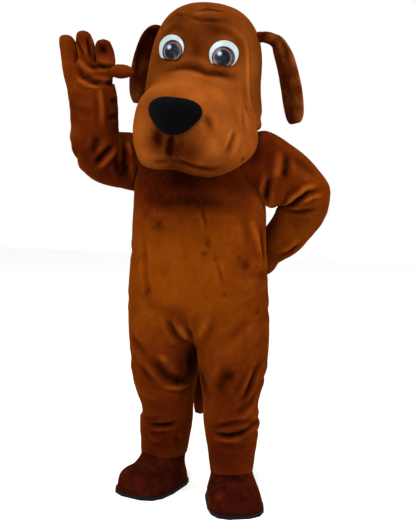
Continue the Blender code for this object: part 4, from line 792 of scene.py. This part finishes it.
def mix(tree, share, first, second):
    """One colour over another by a share."""
    made = add(tree, "Mix", data_type="RGBA")
    for key, value in ((0, share), (6, first), (7, second)):
        if isinstance(value, bpy.types.NodeSocket):
            tree.links.new(value, made.inputs[key])
        else:
            made.inputs[key].default_value = value
    return made.outputs[2]


def fibre_noise(tree, place, scale, roughness, detail=3.0, distortion=0.0):
    return add(tree, "TexNoise", {"Vector": place, "Scale": scale, "Detail": detail, "Roughness": roughness,
                                  "Distortion": distortion}).outputs["Fac"]


def colours_along(tree, value, *stops):
    """Colour ramp: places and screen colours, the two outer ones first."""
    ramp = add(tree, "ValToRGB", {"Fac": value})
    marks = ramp.color_ramp.elements
    for i, (position, hex_colour) in enumerate(stops):
        mark = marks[i] if i < 2 else marks.new(position)
        mark.position, mark.color = position, srgb(hex_colour)
    return ramp.outputs["Color"]


def summed(tree, first, second):
    return add(tree, "Math", {0: first, 1: second}, operation="ADD").outputs[0]


def plush(name, base, lit, dark, gold, maroon, sheen, mottle):
    """Short-pile plush: brushed pile that turns lighter and darker in patches and bright on edges, with shade
    and light painted in from the pile attribute.
    """
    material, tree, shader = new_material(name)
    place = add(tree, "TexCoord").outputs["Object"]
    pile = add(tree, "Attribute", attribute_name="pile")
    parts = add(tree, "SeparateColor", {"Color": pile.outputs["Color"]})
    # patches brushed the other way, 4 to 8 cm across
    patches = fibre_noise(tree, place, 15.0, 0.6, distortion=0.8)
    # finger-sized marks in the pile
    marks = fibre_noise(tree, place, 62.0, 0.65, distortion=0.4)
    # tufts of fibres, drawn out down the pile
    long_way = add(tree, "Mapping", {"Vector": place, "Scale": (1.0, 1.0, 0.4)}).outputs["Vector"]
    tufts = fibre_noise(tree, long_way, 420.0, 0.7)
    # Painted shading from the attribute's red, with the noise patches added; its green paints light in gold,
    # its blue paints shade in maroon
    total = parts.outputs["Red"]
    for grain, change in ((patches, 0.5 * mottle), (marks, 0.22 * mottle), (tufts, 0.10)):
        around = add(tree, "MapRange", {"Value": grain, "From Min": 0.3, "From Max": 0.7,
                                        "To Min": -change, "To Max": change}).outputs["Result"]
        total = summed(tree, total, around)
    brown = colours_along(tree, total, (0.02, dark), (0.98, lit), (0.5, base))
    golden = colours_along(tree, total, (0.05, base), (0.85, gold))
    deep = colours_along(tree, total, (0.1, dark), (1.0, maroon))
    colour = mix(tree, parts.outputs["Green"], brown, golden)
    colour = mix(tree, parts.outputs["Blue"], colour, deep)
    tree.links.new(colour, shader.inputs["Base Color"])
    shader.inputs["Roughness"].default_value = 0.92
    shader.inputs["Specular IOR Level"].default_value = 0.0
    shader.inputs["Sheen Weight"].default_value = sheen
    shader.inputs["Sheen Roughness"].default_value = 0.32
    shader.inputs["Sheen Tint"].default_value = srgb(SHEEN_TINT)
    pressed = add(tree, "Math", {0: marks, 1: 0.8}, operation="MULTIPLY").outputs[0]
    bump = add(tree, "Bump", {"Height": summed(tree, tufts, pressed), "Strength": 0.55, "Distance": 0.0016})
    tree.links.new(bump.outputs["Normal"], shader.inputs["Normal"])
    return material


def plain(name, hex_colour, roughness, metallic=0.0, specular=0.5):
    """One even colour."""
    material, _, shader = new_material(name)
    shader.inputs["Base Color"].default_value = srgb(hex_colour)
    shader.inputs["Roughness"].default_value = roughness
    shader.inputs["Metallic"].default_value = metallic
    shader.inputs["Specular IOR Level"].default_value = specular
    return material


def felt(name, hex_colour, lit):
    """Dense felt: matt, with short matted fibres."""
    material, tree, shader = new_material(name)
    place = add(tree, "TexCoord").outputs["Object"]
    matted = fibre_noise(tree, place, 260.0, 0.7, detail=4.0)
    colour = colours_along(tree, matted, (0.35, hex_colour), (0.85, lit))
    tree.links.new(colour, shader.inputs["Base Color"])
    shader.inputs["Roughness"].default_value = 0.85
    shader.inputs["Specular IOR Level"].default_value = 0.02
    shader.inputs["Sheen Weight"].default_value = 0.01
    shader.inputs["Sheen Roughness"].default_value = 0.5
    bump = add(tree, "Bump", {"Height": matted, "Strength": 0.5, "Distance": 0.0008})
    tree.links.new(bump.outputs["Normal"], shader.inputs["Normal"])
    return material


def painted_iris(name, centre, glint, radius):
    """Gloss plastic disc painted with an iris in rings, a dark pupil and a pale glint."""
    material, tree, shader = new_material(name)
    place = add(tree, "TexCoord").outputs["Object"]
    far, near = [add(tree, "VectorMath", {0: place, 1: tuple(spot)}, operation="DISTANCE").outputs["Value"]
                 for spot in (centre, glint)]
    rings = add(tree, "MapRange", {"Value": far, "From Min": 0.0, "From Max": radius}).outputs["Result"]
    paint = colours_along(tree, rings, (0.0, "07181A"), (1.0, "140C12"), (0.30, "03070B"), (0.62, "020409"),
                          (0.69, "140C10"), (0.74, "4A2E30"), (0.81, "5C4044"), (0.86, "2A1A20"),
                          (0.91, "0E090D"))
    pale = add(tree, "MapRange", {"Value": near, "From Min": 0.30 * radius, "From Max": 0.02 * radius},
               interpolation_type="SMOOTHSTEP").outputs["Result"]
    tree.links.new(mix(tree, pale, paint, srgb("8FA6C4")), shader.inputs["Base Color"])
    shader.inputs["Roughness"].default_value = 0.3
    shader.inputs["Specular IOR Level"].default_value = 0.12
    return material


# Suit and sleeves: golden brown plush, with painted shade in maroon and painted light in gold
body_plush = plush("body_plush_brown", "4C1B03", "783A0D", "100300", "6E3503", "491306",
                   sheen=0.2, mottle=0.16)
# Head sides and brow: the same plush, brushed smoother and more golden
head_plush = plush("head_plush_golden", "542506", "7A4018", "180400", "8A4718", "401605",
                   sheen=0.18, mottle=0.12)
# Ears: maroon-brown plush with the light on its edges
ear_plush = plush("ear_plush_maroon", "300B03", "5E2A0C", "0E0200", "8E4E1A", "240503",
                  sheen=0.22, mottle=0.3)
# Feet: the darkest plush, with painted shade nearly black in its folds
foot_plush = plush("foot_plush_dark", "220703", "4A180A", "080100", "3A1006", "180402",
                   sheen=0.15, mottle=0.3)
# Nose: dense black felt
nose_felt = felt("nose_black_felt", "000001", "030405")
# Eye discs: white gloss plastic
eye_plastic = plain("eye_white_plastic", "849092", 0.35, specular=0.25)
# Soles: matt grey-black rubber sheet
sole_rubber = plain("sole_rubber_sheet", "08090A", 0.85, specular=0.1)
# Zip tape and coil: brown nylon
zip_nylon = plain("zip_brown_nylon", "2E1808", 0.5)
# Slider and pull: antique metal
zip_metal = plain("zip_antique_metal", "6E665E", 0.38, metallic=1.0)


def centre_of(*names):
    corners = [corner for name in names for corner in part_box(name)]
    low = Vector(map(min, *corners))
    high = Vector(map(max, *corners))
    return (low + high) / 2


def cloth(name, nodes, wall, material, creases, painted_zones, levels, thick, slack, swells=NO_SWELLS,
          columns=False):
    """A sewn shell over several CAD walls."""
    middle = centre_of(*nodes)
    parts = [outside_of(node, name + "_" + node, wall, middle) for node in nodes]
    thing = sewn(name, parts)
    if columns:
        split_level_edges(thing)
    rounded(thing, levels)
    points, shade = crease(thing, creases, slack, np.array(middle), swells)
    paint_light_and_shade(thing, points, shade, painted_zones)
    shell(thing, thick)
    dress(thing, material, nodes)
    return thing


def stuffed(node, name, material, creases, painted_zones, levels, slack, swells=NO_SWELLS):
    """A smooth closed copy of a CAD solid, creased."""
    thing = squared(copy_of(node, name), STUFFED_QUADS)
    rounded(thing, levels)
    points, shade = crease(thing, creases, slack, None, swells)
    paint_light_and_shade(thing, points, shade, painted_zones)
    dress(thing, material, [node])
    return thing


suit = cloth("suit_cloth", ("suit_front_right", "suit_front_left", "suit_back_right", "suit_back_left"),
             SUIT_RIM, body_plush, SUIT_CREASES, SUIT_PAINTED_LIGHT_AND_SHADE, 2, PLUSH_SHELL, (2.4, 0.9),
             SUIT_SWELLS, True)
right_sleeve = cloth("sleeve_right_cloth", ("sleeve_right_front", "sleeve_right_back"), SUIT_RIM, body_plush,
                     RIGHT_SLEEVE_CREASES, RIGHT_ARM_PAINTED_LIGHT_AND_SHADE, 3, PLUSH_SHELL, (2.6, 1.2),
                     RIGHT_SLEEVE_SWELLS)
left_sleeve = cloth("sleeve_left_cloth", ("sleeve_left_front", "sleeve_left_back"), SUIT_RIM, body_plush,
                    LEFT_SLEEVE_CREASES, LEFT_ARM_PAINTED_LIGHT_AND_SHADE, 3, PLUSH_SHELL, (2.6, 1.2),
                    LEFT_SLEEVE_SWELLS)
right_glove = cloth("glove_right_cloth", ("glove_right",), GLOVE_RIM, body_plush,
                    RIGHT_GLOVE_CREASES, RIGHT_HAND_PAINTED_LIGHT_AND_SHADE, 3, GLOVE_SHELL, (1.6, 1.0), RIGHT_GLOVE_SWELLS)
left_glove = cloth("glove_left_cloth", ("glove_left",), GLOVE_RIM, body_plush,
                   LEFT_GLOVE_CREASES, NO_PAINTED_ZONES, 3, GLOVE_SHELL, (1.6, 1.0))
right_foot = cloth("foot_right_cloth", ("foot_cover_right",), FOOT_RIM, foot_plush,
                   FOOT_CREASES, FOOT_PAINTED_LIGHT_AND_SHADE, 3, FOOT_SHELL, (1.6, 0.9), RIGHT_FOOT_SWELLS)
left_foot = cloth("foot_left_cloth", ("foot_cover_left",), FOOT_RIM, foot_plush,
                  FOOT_CREASES, FOOT_PAINTED_LIGHT_AND_SHADE, 3, FOOT_SHELL, (1.6, 0.9), LEFT_FOOT_SWELLS)

HEAD_PANELS = ("head_face", "head_muzzle", "head_jaw", "head_side_right", "head_side_left")
head = outside_of_foam(HEAD_PANELS, "head_cloth")
rounded(head, 3)
plain_head = tree_of(head)
head_points, head_shade = crease(head, HEAD_CREASES, (1.2, 0.5), np.array(centre_of(*HEAD_PANELS)),
                                 HEAD_SWELLS)
full_head = tree_of(head)
paint_light_and_shade(head, head_points, head_shade, HEAD_PAINTED_LIGHT_AND_SHADE)
shell(head, FOAM_SHELL)
dress(head, head_plush, HEAD_PANELS)

ears = [stuffed("ear_" + side, f"ear_{side}_plush", ear_plush, EAR_CREASES, EAR_PAINTED_LIGHT_AND_SHADE, 2,
                (1.6, 0.8), swells) for side, swells in (("right", RIGHT_EAR_SWELLS), ("left", NO_SWELLS))]
tail = stuffed("tail", "tail_plush", body_plush, TAIL_CREASES, TAIL_PAINTED_SHADE, 2, (1.6, 1.0))
nose = stuffed("nose", "nose_felt", nose_felt, (), NO_PAINTED_ZONES, 2, (0.4, 0.3))

FLAT = (0.0, 0.0)
for side, sign in (("right", -1.0), ("left", 1.0)):
    white = stuffed("eye_white_" + side, "eye_disc_" + side, eye_plastic, (), NO_PAINTED_ZONES, 2, FLAT)
    plain_white = tree_of(white)
    aim = (sign * EYE_AIM[0], EYE_AIM[1])
    reseat(white, plain_head, full_head, aim, (0.0, EYE_DROP), EYE_SHARE)
    iris = stuffed("eye_iris_" + side, "eye_painted_" + side, nose_felt, (), NO_PAINTED_ZONES, 2, FLAT)
    iris_aim = (aim[0] + IRIS_SHIFT[0], aim[1] + IRIS_SHIFT[1])
    reseat(iris, plain_white, tree_of(white), iris_aim, IRIS_MOVE[side], IRIS_SHARE, full_head)
    iris_face = tree_of(iris)
    across, up = iris_aim[0] + IRIS_MOVE[side][0], iris_aim[1] + IRIS_MOVE[side][1]
    glint = on_head(iris_face, across - GLINT_OFF * IRIS_RADIUS, up + GLINT_OFF * IRIS_RADIUS)
    iris.data.materials[0] = painted_iris("eye_iris_paint_" + side, on_head(iris_face, across, up), glint,
                                          IRIS_RADIUS)

for node in ("sole_right", "sole_left"):
    NODES[node].data.materials[0] = sole_rubber
NODES["zip_chain"].data.materials[0] = zip_nylon
for node in ("zip_slider", "zip_pull"):
    NODES[node].data.materials[0] = zip_metal


# Coil teeth: radius, length, pitch, half of their zigzag, height over the tape, and the tape's bare ends
TOOTH_RADIUS = 0.0009
TOOTH_LENGTH = 0.0052
TOOTH_PITCH = 0.0030
TOOTH_SIDE = 0.0007
TOOTH_RISE = 0.0002
BARE_FOOT = 0.002
BARE_HEAD = 0.018


def zip_coil():
    """Coil along the zip chain: one tooth modelled and copied, set left and right in turn."""
    chain = points_of(NODES["zip_chain"])
    heights = np.unique(np.round(chain[:, 2], 4))
    faces = [chain[np.abs(chain[:, 2] - z) < 0.002][:, 1].max() for z in heights]
    bpy.ops.mesh.primitive_cylinder_add(vertices=6, radius=TOOTH_RADIUS, depth=TOOTH_LENGTH)
    tooth = bpy.context.active_object
    tooth.rotation_euler = (0.0, 0.5 * math.pi, 0.0)
    bpy.ops.object.transform_apply(location=False, rotation=True, scale=False)
    copies = []
    for i, z in enumerate(np.arange(heights.min() + BARE_FOOT, heights.max() - BARE_HEAD, TOOTH_PITCH)):
        one = tooth.copy()
        one.data = tooth.data.copy()
        bpy.context.scene.collection.objects.link(one)
        side = TOOTH_SIDE if i % 2 else -TOOTH_SIDE
        one.location = (side, float(np.interp(z, heights, faces)) + TOOTH_RISE, z)
        copies.append(one)
    bpy.data.objects.remove(tooth)
    coil = joined(copies)
    bpy.ops.object.transform_apply(location=True, rotation=True, scale=True)
    coil.name = "zip_coil"
    coil.data.name = "zip_coil"
    coil.data.materials.clear()
    coil.data.materials.append(zip_nylon)
    bpy.ops.object.shade_smooth()
    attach(coil, "costume")


zip_coil()


# Camera, light and floor
CAMERA_PLACE = (1.24837, -3.42988, -0.01)
CAMERA_HEADING = math.radians(19.381)
CAMERA_TILT = math.radians(7.696)
CAMERA_LENS = 64.04
SENSOR_WIDTH = 36.0
FLOOR_HEIGHT = -1.46
FLOOR_SIDE = 14.0

camera = bpy.data.objects.new("camera", bpy.data.cameras.new("camera"))
bpy.context.scene.collection.objects.link(camera)
camera.location = CAMERA_PLACE
camera.rotation_euler = (0.5 * math.pi - CAMERA_TILT, 0.0, CAMERA_HEADING)
camera.data.lens = CAMERA_LENS
camera.data.sensor_width = SENSOR_WIDTH
bpy.context.scene.camera = camera


def softbox(name, place, aim, size, watts):
    lamp = bpy.data.lights.new(name, "AREA")
    lamp.shape = "SQUARE"
    lamp.size = size
    lamp.energy = watts
    box = bpy.data.objects.new(name, lamp)
    bpy.context.scene.collection.objects.link(box)
    box.location = place
    box.rotation_euler = (Vector(aim) - Vector(place)).to_track_quat("-Z", "Y").to_euler()


softbox("key_softbox", (0.4, -3.0, 2.6), (0.0, 0.0, -0.5), 1.8, 200.0)
softbox("left_softbox", (-3.0, -1.2, 0.8), (0.0, 0.0, -0.4), 1.6, 55.0)
softbox("right_softbox", (3.2, -0.6, 0.9), (0.0, 0.0, -0.4), 1.6, 70.0)

world = bpy.data.worlds.new("studio_light")
world.use_nodes = True
world.node_tree.nodes["Background"].inputs["Color"].default_value = (1.0, 1.0, 1.0, 1.0)
world.node_tree.nodes["Background"].inputs["Strength"].default_value = 1.0
bpy.context.scene.world = world
bpy.context.scene.view_settings.view_transform = "Standard"

bpy.ops.mesh.primitive_plane_add(size=FLOOR_SIDE, location=(0.0, 0.0, FLOOR_HEIGHT))
floor = bpy.context.active_object
floor.name = "studio_floor"
floor.data.materials.append(plain("studio_floor_white", "F4F4F2", 0.9, specular=0.1))
